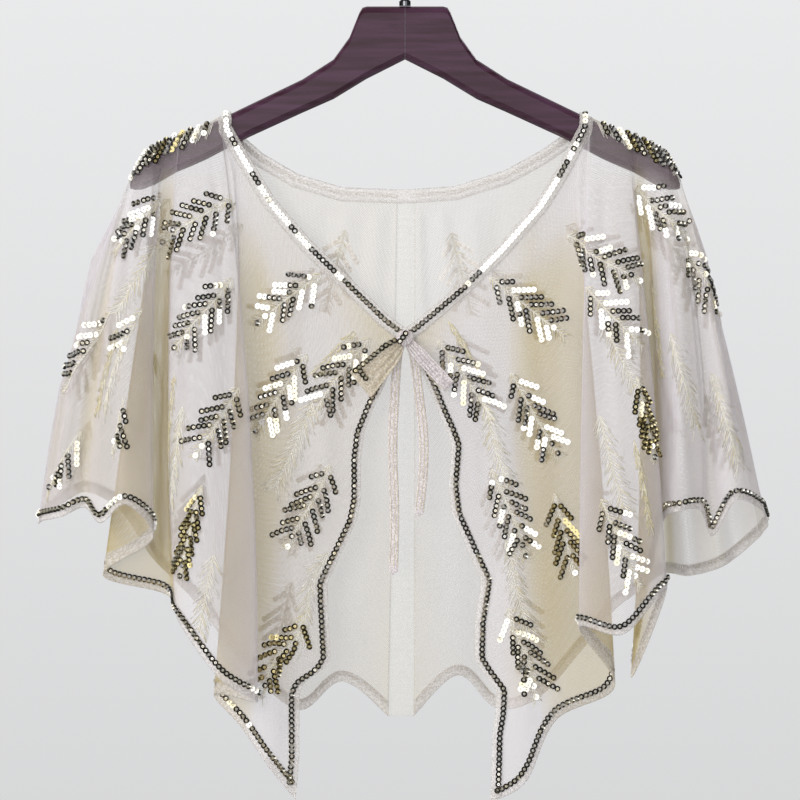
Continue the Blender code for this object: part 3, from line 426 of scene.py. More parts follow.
def read(outline, values, key=0, wanted=1):
    """The outline's wanted coordinate where its key coordinate has the given values."""
    rows = sorted(outline, key=lambda point: point[key])
    return np.interp(values, [row[key] for row in rows], [row[wanted] for row in rows])


def shoulder_z(x):
    """The height of the cloth's top line, where it lies over the hanger."""
    across = np.minimum(np.abs(x), WOOD_UPPER[-1][0])
    rise = read(WOOD_UPPER, across + SLOPE_STEP) - read(WOOD_UPPER, across - SLOPE_STEP)
    steepness = np.minimum(np.hypot(1.0, rise / (2 * SLOPE_STEP)), STEEPEST_LIFT)
    return read(WOOD_UPPER, across) + DRAPE_LIFT * steepness


def bend(x, z):
    """How far the cloth has turned down over the hanger: 0 on its top line, 1 on its flat face."""
    drop = np.clip((shoulder_z(x) - z) / DRAPE_RADIUS, 0.0, 1.0)
    return np.where(np.abs(x) > WOOD_UPPER[-1][0], 1.0, np.sqrt(1.0 - (1.0 - drop) ** 2))


def catmull(rows, place):
    """A smooth curve through the rows, read at a place between them."""
    index = min(int(place), len(rows) - 2)
    t = place - index
    a, b = rows[max(index - 1, 0)], rows[index]
    c, d = rows[index + 1], rows[min(index + 2, len(rows) - 1)]
    return 0.5 * (2 * b + (c - a) * t + (2 * a - 5 * b + 4 * c - d) * t**2 + (3 * b - a - 3 * c + d) * t**3)


def through_three(top, mid, hem, share):
    """The curve that passes a line's three given values, read at a share."""
    at_top = (share - MID_SHARE) * (share - 1.0) / MID_SHARE
    at_mid = share * (share - 1.0) / (MID_SHARE * (MID_SHARE - 1.0))
    at_hem = share * (share - MID_SHARE) / (1.0 - MID_SHARE)
    return at_top * top + at_mid * mid + at_hem * hem


def unit(vectors):
    lengths = np.linalg.norm(vectors, axis=-1, keepdims=True)
    return vectors / np.maximum(lengths, 1e-12)


def ramp(values, start, end):
    """0 up to the start, 1 from the end on, and even between them."""
    return np.clip((values - start) / (end - start), 0.0, 1.0)


def path_lengths(points):
    """How far along its path each point lies."""
    return np.concatenate([[0.0], np.cumsum(np.linalg.norm(np.diff(points, axis=0), axis=1))])


def interpolate(stops, walked, values):
    """Points or directions along a line, at the given stops."""
    return np.array([np.interp(stops, walked, values[:, axis]) for axis in range(3)]).T


class Cloth:
    """One wall of the cape as a fine grid, with its creases."""

    def __init__(self, name, folds, neck, side, facing, edge=None):
        self.name = name
        self.folds = [Fold(*row) for row in folds]
        self.rows = np.array([fold[1:] for fold in self.folds])
        self.neck = neck
        self.side = side
        self.facing = facing
        self.edge = edge
        self.last = len(folds)
        self.outwards = math.copysign(1.0, self.folds[-1].top_x)
        self.fine = FRONT_FINE if edge else BACK_FINE
        self.places = np.linspace(0.0, self.last, self.last * self.fine + 1)
        self.shares = self.all_shares(FRONT_ROWS if edge else BACK_ROWS)
        base = np.array([self.base(place, shares) for place, shares in zip(self.places, self.shares)])
        relief = self.relief(self.places[:, None], self.shares)
        self.points = base + self.normals_of(base) * relief[..., None]
        self.normals = self.normals_of(self.points)
        self.hollow = self.hollows()
        self.steep = self.tightness() / np.clip(np.abs(self.normals[..., 1]), MOST_EDGE_ON, 1.0)

    def all_shares(self, count):
        """Every column's shares: close together over the hanger and even below it."""
        drops = DRAPE_RADIUS * (1.0 - np.cos(np.linspace(0.0, math.pi / 2, BEND_STEPS)))
        even = np.linspace(0.0, 1.0, count + 1)[1:]
        columns = []
        for place in self.places:
            over = drops / self.height(place)
            columns.append(np.concatenate([over, over[-1] + (1.0 - over[-1]) * even]))
        return np.array(columns)

    def hollows(self):
        """How deep each point lies in a trough: 0 on the crests and at the side, 1 well behind a crest.

        Near the tie, where a front is gathered, it counts as deep too. The net's colour uses it as painted
        shade, darker and creamier where it is deep.
        """
        depth = self.facing * self.points[..., 1]
        reach = int(CREST_REACH * self.fine)
        crest = np.array([
            depth[max(column - reach, 0):column + reach + 1].max(axis=0) for column in range(len(depth))
        ])
        before_side = ramp(self.last - self.places, 0.5, 2.0)[:, None]
        soft = ramp(1.0 - depth / crest, HOLLOW_STARTS, HOLLOW_FULL) * before_side
        if self.edge:
            near_top = np.clip(1.0 - self.shares / GATHERED_SHARE, 0.0, 1.0)
            near_tie = np.clip(GATHERED_PLACES - self.places / GATHERED_PLACES, 0.0, 1.0)[:, None]
            soft = np.maximum(soft, near_top * near_tie)
        return soft * soft * (3.0 - 2.0 * soft)

    def tightness(self):
        """How close the net is: more open where it is drawn tight over the hanger."""
        over_wood = np.array([not self.on_neck(place) for place in self.places])[:, None]
        return np.where(over_wood, TIGHT_NET + (1.0 - TIGHT_NET) * ramp(self.shares, *TIGHT_SHARES), 1.0)

    def line_at(self, place):
        return Fold("between", *catmull(self.rows, min(place, self.last - 1)))

    def on_neck(self, place):
        return abs(self.line_at(place).top_x) < abs(self.neck[-1][0]) - SAME_PLACE

    def top_z(self, place):
        top_x = self.line_at(place).top_x
        return float(read(self.neck, top_x) if self.on_neck(place) else shoulder_z(top_x))

    def fold_points(self, place, shares):
        line = self.line_at(place)
        top_z = self.top_z(place)
        z = top_z + shares * (line.hem_z - top_z)
        x = through_three(line.top_x, line.mid_x, line.hem_x, shares)
        y = through_three(line.top_y, line.mid_y, line.hem_y, shares)
        if self.edge and line.follow > 0:
            first = self.folds[0]
            smooth = through_three(first.top_x, first.mid_x, first.hem_x, shares)
            inset_top = self.top_z(1.0)
            level = z if place <= 1.0 else inset_top + shares * (self.folds[1].hem_z - inset_top)
            x = x + line.follow * (read(self.edge, level, 1, 0) - smooth)
        y = np.maximum(y * bend(x, z), SIDE_GAP_HALF)
        return np.stack([x, self.facing * y, z], axis=-1)

    def side_points(self, shares):
        z = self.side[0][1] + shares * (self.side[-1][1] - self.side[0][1])
        y = np.full_like(z, self.facing * SIDE_GAP_HALF)
        return np.stack([read(self.side, z, 1, 0), y, z], axis=-1)

    def base(self, place, shares):
        shares = np.atleast_1d(np.asarray(shares, float))
        if place <= self.last - 1:
            return self.fold_points(place, shares)
        share = place - self.last + 1
        return (1 - share) * self.fold_points(self.last - 1, shares) + share * self.side_points(shares)

    def height(self, place):
        ends = self.base(place, [0.0, 1.0])
        return ends[0][2] - ends[1][2]

    def normals_of(self, points):
        normals = unit(np.cross(np.gradient(points, axis=0), np.gradient(points, axis=1)))
        return normals * math.copysign(1.0, self.facing * normals[..., 1].mean())

    def relief(self, places, shares):
        """How far the creases raise the cloth. They fade at the neck, at the side and towards the hem."""
        total = np.zeros(np.broadcast(places, shares).shape)
        for crease in (Crease(*row) for row in CREASES[self.name]):
            inside = (shares - crease.top) / (crease.bottom - crease.top)
            middle = crease.place + crease.lean * inside
            ridge = np.exp(-(((places - middle) / crease.width) ** 2))
            ends = ramp(inside, 0.0, CREASE_ENDS) * ramp(1.0 - inside, 0.0, 3 * CREASE_ENDS)
            total += crease.height * ridge * ends * ramp(shares, 0.0, CREASE_CALM)
        at_hem = np.clip((1.0 - shares) / HEM_CALM, HEM_KEEPS, 1.0)
        return total * ramp(self.last - places, 0.0, SIDE_CALM) * at_hem

    def hem_share(self, place, width):
        """How far down this column the cloth is the given width from the hem, measured square to it."""
        after, before = min(place + HEM_STEP, self.last), max(place - HEM_STEP, 0.0)
        along = self.base(after, 1.0)[0] - self.base(before, 1.0)[0]
        down = self.base(place, 1.0)[0] - self.base(place, NEAR_HEM)[0]
        across = max(np.linalg.norm(np.cross(unit(along), unit(down))), STEEPEST_HEM)
        return 1.0 - width / across / self.height(place)

    def spot(self, place, share):
        """The surface's point and outward normal."""
        here = min(max(place, 0.0), self.last - 1e-9) * self.fine
        index = int(here)
        part = here - index
        found = []
        for grid in (self.points, self.normals):
            value = (1 - part) * interpolate(share, self.shares[index], grid[index])
            found.append(value + part * interpolate(share, self.shares[index + 1], grid[index + 1]))
        return found[0], unit(found[1])

    def walk(self, place, share, angle, step):
        """Moves over the surface by a real distance, at an angle from straight down the column."""
        here = self.spot(place, share)[0]
        down_step = SHARE_STEP if share < 1.0 - 2 * SHARE_STEP else -SHARE_STEP
        place_step = PLACE_STEP if place < self.last - 1.2 * PLACE_STEP else -PLACE_STEP
        down = (self.spot(place, share + down_step)[0] - here) / down_step
        across = (self.spot(place + place_step, share)[0] - here) / place_step
        along = unit(down)
        sideways = unit(across - along * np.dot(across, along))
        wanted = step * (math.cos(angle) * along + math.sin(angle) * sideways)
        change = np.linalg.lstsq(np.stack([across, down], axis=1), wanted, rcond=None)[0]
        return place + float(change[0]), share + float(change[1])

    def find(self, x, z):
        """The place and share that the viewer of this wall sees at x and z."""
        flat = np.hypot(self.points[..., 0] - x, self.points[..., 2] - z)
        facing = self.facing * self.normals[..., 1] > TURNED_AWAY
        flat = np.where(facing, flat, 1.0)
        near = flat < flat.min() + SIGHT_WIDTH
        depth = np.where(near, self.facing * self.points[..., 1], -1.0)
        column, row = np.unravel_index(np.argmax(depth), depth.shape)
        return float(self.places[column]), float(self.shares[column, row])


# ---------------------------------------- mesh makers

def new_object(name, points, faces, materials, smooth=True):
    mesh = bpy.data.meshes.new(name)
    mesh.from_pydata([tuple(point) for point in points], [], [tuple(face) for face in faces])
    for material in materials:
        mesh.materials.append(material)
    if smooth:
        mesh.shade_smooth()
    thing = bpy.data.objects.new(name, mesh)
    bpy.context.scene.collection.objects.link(thing)
    return thing


def finish_piece(thing, slot, *replaced):
    """Ties a piece to the body and hides the solids that it stands for. The slot it is given is not used."""
    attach(thing, "root")
    if replaced:
        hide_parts(*replaced)
    return thing


def grid_faces(columns, rows):
    faces = []
    for column in range(columns - 1):
        for row in range(rows - 1):
            here = column * rows + row
            faces.append((here, here + 1, here + rows + 1, here + rows))
    return faces


def side_faces(rings, sides, start=0):
    """The sides of a tube whose points follow each other ring by ring."""
    faces = []
    for ring in range(rings - 1):
        for side in range(sides):
            a = start + ring * sides + side
            b = start + ring * sides + (side + 1) % sides
            faces.append((a, b, b + sides, a + sides))
    return faces


def tube_faces(rings, sides, start=0):
    """A tube's sides and its two flat ends."""
    last = start + (rings - 1) * sides
    ends = [list(range(start + sides - 1, start - 1, -1)), list(range(last, last + sides))]
    return side_faces(rings, sides, start) + ends


def ring_angles(sides):
    return [2 * math.pi * side / sides for side in range(sides)]


def add_uv(thing, coordinates):
    """Gives each corner the (u, v) in metres of its point."""
    layer = thing.data.uv_layers.new(name="cloth")
    corners = np.zeros(len(thing.data.loops), np.int64)
    thing.data.loops.foreach_get("vertex_index", corners)
    layer.data.foreach_set("uv", np.asarray(coordinates, np.float32)[corners].ravel())


def add_values(thing, name, values):
    layer = thing.data.attributes.new(name, "FLOAT", "POINT")
    layer.data.foreach_set("value", np.asarray(values, np.float32))


def grid_uv(points):
    """Distances along the rows and down the columns of a grid of points."""
    across = np.linalg.norm(np.diff(points, axis=0), axis=2)
    down = np.linalg.norm(np.diff(points, axis=1), axis=2)
    u = np.vstack([np.zeros((1, points.shape[1])), np.cumsum(across, axis=0)])
    v = np.hstack([np.zeros((points.shape[0], 1)), np.cumsum(down, axis=1)])
    u = u - u[len(u) // 2]
    return np.stack([u, v], axis=-1).reshape(-1, 2)


def grid_piece(name, grid, materials, thickness, slot, *replaced):
    """A thin sheet over a grid of points. A second material is for its inner side."""
    thing = new_object(name, grid.reshape(-1, 3), grid_faces(*grid.shape[:2]), materials)
    add_uv(thing, grid_uv(grid))
    shell = thing.modifiers.new("thickness", "SOLIDIFY")
    shell.thickness = thickness
    shell.offset = 0.0
    shell.use_even_offset = False
    shell.material_offset = len(materials) - 1
    return finish_piece(thing, slot, *replaced)


def resample(path, pitch):
    """Even steps along a path of (point, normal): each gives its point, normal and direction."""
    points = np.array([point for point, _ in path])
    normals = np.array([normal for _, normal in path])
    walked = path_lengths(points)
    count = max(int(round(walked[-1] / pitch)), 1)
    stops = (np.arange(count) + 0.5) * walked[-1] / count
    ahead = interpolate(stops + pitch / 2, walked, points)
    behind = interpolate(stops - pitch / 2, walked, points)
    facing = unit(interpolate(stops, walked, normals))
    return list(zip(interpolate(stops, walked, points), facing, unit(ahead - behind)))


def tubes(name, paths, radius, material, slot="embroidery"):
    """Many threads in one piece, each a closed tube with four sides along its own points."""
    points, faces = [], []
    for path in paths:
        path = np.asarray(path, float)
        if len(path) < 2:
            continue
        along = unit(np.gradient(path, axis=0))
        helper = np.where(np.abs(along[:, 1:2]) < 0.9, [[0.0, 1.0, 0.0]], [[1.0, 0.0, 0.0]])
        first = unit(np.cross(along, helper))
        second = np.cross(along, first)
        rings = np.stack([path + radius * way for way in (first, second, -first, -second)], axis=1)
        faces += tube_faces(*rings.shape[:2], len(points))
        points.extend(rings.reshape(-1, 3))
    return finish_piece(new_object(name, points, faces, [material]), slot)


def sequin_template(cup):
    """A punched disc, flat in the middle, with a rim that rises by the given share of its radius."""
    profile = ((0.11, -0.15), (0.25, 0.0), (SEQUIN_FLAT, 0.0), (1.0, cup), (SEQUIN_FLAT, -0.055))
    points, faces = [], []
    for angle in ring_angles(SEQUIN_SIDES):
        points.extend((r * math.cos(angle), r * math.sin(angle), h) for r, h in profile)
    count = len(profile)
    for side in range(SEQUIN_SIDES):
        here, after = side * count, (side + 1) % SEQUIN_SIDES * count
        for step in range(count):
            ahead = (step + 1) % count
            faces.append((here + step, here + ahead, after + ahead, after + step))
    return np.array(points) * SEQUIN_RADIUS, np.array(faces)


Sequin = namedtuple("Sequin", "point normal along tint cup")
# Which material each step of a sequin's profile has: three in front, two behind
SEQUIN_FACE_SLOTS = (0, 0, 0, 1, 1)


def sequins(name, spots, materials):
    """Many sequins in one piece, some cupped and some pressed flat, with pale backs."""
    shapes = {cup: sequin_template(cup) for cup in (CUPPED, PRESSED)}
    all_points, all_faces, tints, start = [], [], [], 0
    for spot in spots:
        template, faces = shapes[spot.cup]
        across = unit(np.cross(spot.normal, spot.along))
        along = np.cross(across, spot.normal)
        all_points.append(spot.point + template @ np.stack([along, across, spot.normal]))
        all_faces.append(faces + start)
        tints.append(np.full(len(template), spot.tint))
        start += len(template)
    thing = new_object(name, np.vstack(all_points), np.vstack(all_faces), materials, smooth=False)
    slots = np.tile(SEQUIN_FACE_SLOTS, len(spots) * SEQUIN_SIDES).astype(np.int32)
    thing.data.polygons.foreach_set("material_index", slots)
    add_values(thing, "tint", np.concatenate(tints))
    return finish_piece(thing, "sequins")


# ---------------------------------------- materials

class Nodes:
    """A tree of nodes, with short calls to make and join them."""

    def __init__(self, tree):
        self.tree = tree

    def node(self, kind, inputs=None, **settings):
        made = self.tree.nodes.new(kind)
        for key, value in settings.items():
            setattr(made, key, value)
        for key, value in (inputs or {}).items():
            self.feed(made.inputs[key], value)
        return made

    def feed(self, socket, value):
        if isinstance(value, bpy.types.NodeSocket):
            self.tree.links.new(value, socket)
        else:
            socket.default_value = value

    def math(self, operation, *values):
        return self.node("ShaderNodeMath", dict(enumerate(values)), operation=operation).outputs[0]

    def ranged(self, value, low, high, to_low, to_high, curve="SMOOTHSTEP"):
        inputs = {"Value": value, "From Min": low, "From Max": high, "To Min": to_low, "To Max": to_high}
        return self.node("ShaderNodeMapRange", inputs, interpolation_type=curve).outputs["Result"]


class Shade(Nodes):
    """A material and its nodes."""

    def __init__(self, name):
        self.material = bpy.data.materials.new(name)
        self.material.use_nodes = True
        super().__init__(self.material.node_tree)
        self.shader = self.tree.nodes["Principled BSDF"]

    def set(self, **values):
        for key, value in values.items():
            name = key.replace("_", " ").title().replace("Ior", "IOR")
            self.feed(self.shader.inputs[name], value)

    def attribute(self, name):
        return self.node("ShaderNodeAttribute", attribute_name=name).outputs["Fac"]

    def clamped(self, value):
        return self.node("ShaderNodeClamp", {"Value": value}).outputs[0]

    def noise(self, scale, detail=2.0, stretch=(1.0, 1.0, 1.0)):
        where = self.node("ShaderNodeTexCoord").outputs["Object"]
        placed = self.node("ShaderNodeMapping", {"Vector": where, "Scale": stretch}).outputs[0]
        inputs = {"Vector": placed, "Scale": scale, "Detail": detail}
        return self.node("ShaderNodeTexNoise", inputs).outputs["Fac"]

    def mixed(self, factor, first, second):
        inputs = {"Factor": factor, 6: first, 7: second}
        return self.node("ShaderNodeMix", inputs, data_type="RGBA").outputs[2]

    def bump(self, height, strength, distance):
        made = self.node("ShaderNodeBump", {"Height": height, "Strength": strength, "Distance": distance})
        self.feed(self.shader.inputs["Normal"], made.outputs[0])


def rgb(red, green, blue):
    """An sRGB colour of 0 to 255, as a shader's linear colour."""
    values = []
    for part in (red, green, blue):
        share = part / 255.0
        values.append(share / 12.92 if share <= 0.04045 else ((share + 0.055) / 1.055) ** 2.4)
    return (*values, 1.0)


def net_mask(shade, cell):
    """1 on the threads of a six-sided net, 0 in its holes, from the cloth's own metres."""
    where = shade.node("ShaderNodeUVMap", uv_map="cloth").outputs[0]
    wave = 4.0 * math.pi / (math.sqrt(3.0) * cell)
    total = 0.0
    for turn in (0.0, 60.0, -60.0):
        ray = (wave * math.cos(math.radians(turn)), wave * math.sin(math.radians(turn)), 0.0)
        dot = shade.node("ShaderNodeVectorMath", {0: where, 1: ray}, operation="DOT_PRODUCT")
        total = shade.math("ADD", total, shade.math("COSINE", dot.outputs["Value"]))
    return shade.ranged(total, -0.15, -0.75, 0.0, 1.0)


def net_material(name, crest, trough, hole, thread):
    """Sheer net: see-through in its holes, darker and creamier in its troughs as painted shade, and denser
    where it turns edge on.
    """
    shade = Shade(name)
    mask = net_mask(shade, NET_CELL)
    hollow = shade.attribute("hollow")
    patches = shade.ranged(shade.noise(9.0, 1.0, stretch=(1.0, 1.0, 0.35)), 0.38, 0.66, -0.16, 0.22)
    # The trough colour, mixed in by the hollow attribute, is painted shade; the noise patches vary the tone
    # at random.
    shade.set(base_color=shade.mixed(shade.clamped(shade.math("ADD", hollow, patches)), crest, trough))
    cover = shade.ranged(mask, 0.0, 1.0, hole, thread)
    denser = shade.math("MULTIPLY_ADD", hollow, 0.6, shade.attribute("steep"))
    shade.set(alpha=shade.clamped(shade.math("MULTIPLY", cover, denser)))
    shade.set(roughness=0.6, sheen_weight=0.25, sheen_roughness=0.4, specular_ior_level=0.3)
    shade.bump(mask, 0.25, 0.0003)
    return shade.material


def tape_material(name, low, high, dull, bright):
    """Net doubled over, along the borders or in the tie."""
    shade = Shade(name)
    mask = net_mask(shade, TAPE_CELL)
    specks = shade.noise(700.0, 1.0)
    shade.set(base_color=shade.mixed(shade.ranged(specks, 0.42, 0.6, 0.0, 1.0), dull, bright))
    shade.set(alpha=shade.ranged(mask, 0.0, 1.0, low, high))
    shade.set(roughness=0.55, sheen_weight=0.3, sheen_roughness=0.4, specular_ior_level=0.35)
    shade.bump(mask, 0.3, 0.0003)
    return shade.material


def sequin_material():
    """Foil that mirrors the studio: silver to pale gold by each sequin's tint."""
    shade = Shade("sequin foil")
    shade.set(base_color=shade.mixed(shade.attribute("tint"), rgb(232, 230, 226), rgb(204, 190, 140)))
    fine = shade.noise(900.0, 2.0)
    shade.set(roughness=shade.ranged(fine, 0.3, 0.7, 0.07, 0.17))
    shade.set(metallic=1.0)
    return shade.material


def backing_material():
    """The pale matt back of the foil."""
    shade = Shade("sequin back")
    specks = shade.noise(600.0, 2.0)
    shade.set(base_color=shade.mixed(specks, rgb(236, 230, 224), rgb(255, 253, 250)), roughness=0.5)
    return shade.material


def thread_material(name, dull, bright):
    """Metallic embroidery thread: fine twisted strands with bright specks."""
    shade = Shade(name)
    specks = shade.noise(1300.0, 2.0)
    lit = shade.ranged(specks, 0.5, 0.64, 0.0, 1.0)
    shade.set(base_color=shade.mixed(lit, dull, bright))
    shade.set(roughness=shade.ranged(lit, 0.0, 1.0, 0.6, 0.25))
    shade.set(metallic=0.1)
    shade.bump(specks, 0.4, 0.0002)
    return shade.material


def wood_material():
    """Dark plum varnish over straight grain that runs along the arms."""
    shade = Shade("plum varnished wood")
    grain = shade.noise(5.0, 6.0, stretch=(2.0, 34.0, 34.0))
    pores = shade.noise(60.0, 3.0, stretch=(1.0, 16.0, 16.0))
    colour = shade.mixed(shade.ranged(grain, 0.3, 0.7, 0.0, 1.0), rgb(52, 24, 36), rgb(74, 44, 66))
    shade.set(base_color=shade.mixed(shade.ranged(pores, 0.56, 0.74, 0.0, 0.4), colour, rgb(38, 18, 28)))
    shade.set(roughness=shade.ranged(grain, 0.3, 0.7, 0.36, 0.46))
    shade.set(coat_weight=0.35, coat_roughness=0.3)
    shade.bump(pores, 0.12, 0.0004)
    return shade.material


def steel_material():
    shade = Shade("plated steel")
    scratches = shade.noise(220.0, 4.0, stretch=(1.0, 1.0, 0.15))
    shade.set(base_color=shade.mixed(scratches, rgb(178, 178, 182), rgb(142, 142, 148)))
    shade.set(roughness=shade.ranged(scratches, 0.3, 0.7, 0.16, 0.32))
    shade.set(metallic=1.0)
    return shade.material


# ---------------------------------------- cloth and borders

def make_panel(cloth, outer, inner):
    """One wall of net, from its front edge to the side fold and from the neck to just inside the hem."""
    first = FIRST_FRONT_COLUMN if cloth.edge else 0
    thing = grid_piece(cloth.name + "_net", cloth.points[first:], [outer, inner], NET, "tulle", cloth.name)
    add_values(thing, "hollow", cloth.hollow[first:].ravel())
    add_values(thing, "steep", cloth.steep[first:].ravel())
    if np.dot(thing.data.polygons[0].normal, cloth.normals[first, 0]) < 0:
        thing.data.flip_normals()
    return thing


def make_band(name, stations, material, replaced):
    """A doubled net border. A station is its points from the inner border to the fold, and a normal."""
    grid = []
    for points, normal in stations:
        lift = normal * BAND_HALF
        outer = [point + lift for point in points[:-1]]
        inner = [point - lift for point in reversed(points[:-1])]
        grid.append(outer + [points[-1]] + inner)
    return grid_piece(name, np.array(grid), [material], BAND_SHELL, "binding", replaced)


def hem_stations(cloth):
    stations = []
    for place in np.linspace(0.0, cloth.last, cloth.last * HEM_FINE + 1):
        points = [cloth.spot(place, cloth.hem_share(place, BAND_WIDTH * step))[0] for step in BAND_STEPS]
        stations.append((points, cloth.spot(place, cloth.hem_share(place, BAND_WIDTH * 0.5))[1]))
    return stations


def edge_stations(cloth):
    stations = []
    for share in np.linspace(0.0, 1.0, EDGE_ROWS):
        points = [cloth.spot(0.9 * step, share)[0] for step in BAND_STEPS]
        stations.append((points, cloth.spot(0.5, share)[1]))
    return stations


def neck_frames(cloth):
    """Along the neck from the centre to the shoulder's top: base point, way out from the panel, normal."""
    limit = next(place for place in cloth.places if not cloth.on_neck(place))
    places = [place for place in np.arange(0.0, limit, NECK_STEP) if cloth.on_neck(place)]
    path = np.array([cloth.base(place, 0.0)[0] for place in places])
    frames = []
    for here, run in zip(path, np.gradient(path, axis=0)):
        run = unit(np.array([run[0], 0.0, run[2]]))
        out = np.array([-run[2], 0.0, run[0]]) * cloth.outwards
        frames.append((here, out, np.array([0.0, cloth.facing, 0.0])))
    for angle in np.linspace(math.pi / 2, 0.0, NECK_TOP_STEPS):
        drop = DRAPE_RADIUS * (1.0 - np.cos(angle))
        here = cloth.base(limit, drop / cloth.height(limit))[0]
        slope = shoulder_z(here[0] - cloth.outwards * BAND_WIDTH) - shoulder_z(here[0])
        out = unit(np.array([-cloth.outwards * BAND_WIDTH, 0.0, float(slope)]))
        frames.append((here, out, np.array([0.0, cloth.facing * math.sin(angle), math.cos(angle)])))
    return frames


def neck_point(cloth, here, out, distance):
    point = here + out * distance
    if cloth.edge:
        point[0] = cloth.outwards * max(cloth.outwards * point[0], SIDE_GAP_HALF)
    return point


def neck_stations(cloth):
    reach = BAND_WIDTH + BINDING_GAP
    stations = []
    for here, out, normal in neck_frames(cloth):
        points = [neck_point(cloth, here, out, reach * (1.0 - 1.15 * step)) for step in BAND_STEPS]
        stations.append((points, normal))
    return stations


def hem_path(cloth, inset):
    places = np.linspace(0.4 if cloth.edge else SIDE_ROOM, cloth.last - SIDE_ROOM, cloth.last * HEM_PATH_FINE)
    return [cloth.spot(place, cloth.hem_share(place, inset)) for place in places]


def edge_path(cloth, inset):
    place = inset / (BAND_WIDTH + BINDING_GAP)
    return [cloth.spot(place, share) for share in np.linspace(*EDGE_PATH_SHARES, EDGE_PATH_ROWS)]


def neck_path(cloth, distance):
    return [(neck_point(cloth, here, out, distance), normal) for here, out, normal in neck_frames(cloth)]


def make_seam(left, right, material):
    """The centre back seam's band, which joins the two back panels, with a low ridge along each side."""
    overlap = np.array([0.001, 0.0, 0.0])
    grid = []
    for share in np.linspace(0.0, 1.0, SEAM_ROWS):
        start, end = left.spot(0.0, share)[0] - overlap, right.spot(0.0, share)[0] + overlap
        row = []
        for part in np.linspace(0.0, 1.0, 9):
            ridges = sum(math.exp(-((part - middle) / 0.07) ** 2) for middle in (0.12, 0.88))
            row.append(start + (end - start) * part + np.array([0.0, 0.0007 + 0.0009 * ridges, 0.0]))
        grid.append(row)
    grid = np.array(grid)
    return grid_piece("centre_back_band", grid, [material], BAND_SHELL, "binding", "centre_back_seam")


# ---------------------------------------- sequins and thread

class Shine:
    """How a run of sequins lies. Pressed ones turn to face out together, cupped ones lean as they hang."""

    def __init__(self, source, pressed, gold):
        self.source = source
        self.cup = PRESSED if pressed else CUPPED
        self.shake = 0.02 if pressed else 0.06
        self.turned = 0.92 if pressed else SEQUIN_FACES_FRONT
        self.front = np.array(GLINT) if pressed else np.array([0.0, -1.0, 0.0])
        self.gold = gold + source.gauss(0.0, 0.12)
        spread = 0.02 if pressed else 0.10
        self.tilt, self.lean = source.gauss(0.0, spread), source.gauss(0.0, spread)

    def sequin(self, point, normal, along, lift):
        front = self.front * -math.copysign(1.0, normal[1])
        facing = unit((1 - self.turned) * normal + self.turned * front)
        tilt = self.tilt + self.source.gauss(0.0, self.shake)
        lean = self.lean + self.source.gauss(0.0, self.shake)
        facing = unit(facing + tilt * np.cross(facing, along) + lean * along)
        tint = min(max(self.gold + self.source.gauss(0.0, 0.08), 0.0), 1.0)
        return Sequin(point + normal * lift, facing, along, tint, self.cup)


def row_spots(path, source, lift, pressed_share, gold):
    """A border's line of sequins, in runs that lie alike."""
    spots = []
    left, shine = 0, None
    for point, normal, along in resample(path, SEQUIN_PITCH):
        if left == 0:
            pressed = source.random() < pressed_share
            left = source.choice((1, 2, 4, 6)) if pressed else source.choice((4, 8, 14))
            shine = Shine(source, pressed, gold)
        spots.append(shine.sequin(point, normal, along, lift))
        left -= 1
    return spots


def run_spots(path, source, lift, runs):
    """A line of sequins whose runs end at the given shares of its length, in turn cupped and pressed."""
    stops = resample(path, SEQUIN_PITCH)
    shines = [Shine(source, bool(number % 2), 0.2) for number in range(len(runs) + 1)]
    spots = []
    for number, (point, normal, along) in enumerate(stops):
        run = sum((number + 0.5) / len(stops) > end for end in runs)
        spots.append(shines[run].sequin(point, normal, along, lift))
    return spots


# The share of pressed sequins, and how golden they are
KINDS = {"bright": (0.60, 0.12), "mixed": (0.38, 0.24), "dark": (0.10, 0.34), "gold": (0.08, 0.95)}
# The short strokes of thread: the share of gold ones, and the shortest and the longest
STROKES = {"thread": (0.15, 0.008, 0.018), "glitter": (0.90, 0.004, 0.010)}
LEAF_STROKES = (0.40, 0.004, 0.009)


def leaf_stem(cloth, leaf, turn, length):
    """The stem's places: it starts above the first row and runs on past the last one."""
    place, share = cloth.find(leaf.x, leaf.z)
    for _ in range(STEM_BACK_STEPS):
        place, share = cloth.walk(place, share, turn + math.pi, (length / 2 + STEM_START) / STEM_BACK_STEPS)
        place, share = max(place, 1.0 if cloth.edge else 0.1), max(share, STEM_TOP_ROOM)
    stem = [(place, share)]
    for _ in range(int((length + STEM_START + STEM_END) / STEM_STEP)):
        place, share = cloth.walk(place, share, turn, STEM_STEP)
        if share > STEM_REACHES or place > cloth.last - STEM_SIDE_ROOM:
            break
        stem.append((place, share))
    return stem


def on_cloth(cloth, place, share):
    return TOP_ROOM < share < SEWN_TO and EDGE_ROOM < place < cloth.last - SIDE_ROOM


def stroke(cloth, start, angle, length, source):
    """A short straight thread on the cloth."""
    place, share = start
    line = []
    for number in range(3):
        if number:
            place, share = cloth.walk(place, share, angle, length / 2)
        if not on_cloth(cloth, place, share):
            break
        point, normal = cloth.spot(place, share)
        line.append(point + normal * (0.0004 + 0.0002 * source.random()))
    return line


def add_strokes(cloth, leaf, stem, angle, threads, source):
    """Short strokes on one side of a stem, some gold and some cream."""
    gold_share, shortest, longest = STROKES.get(leaf.kind, LEAF_STROKES)
    for number in range(int(len(stem) * STEM_STEP / STROKE_STEP)):
        index = min(int(number * STROKE_STEP / STEM_STEP), len(stem) - 1)
        turned = angle + math.radians(source.gauss(0.0, 6.0))
        start = stem[index]
        if leaf.kind == "glitter":
            start = cloth.walk(*start, angle, source.uniform(-0.001, 0.004))
        line = stroke(cloth, start, turned, source.uniform(shortest, longest), source)
        threads["gold" if source.random() < gold_share else "cream"].append(line)


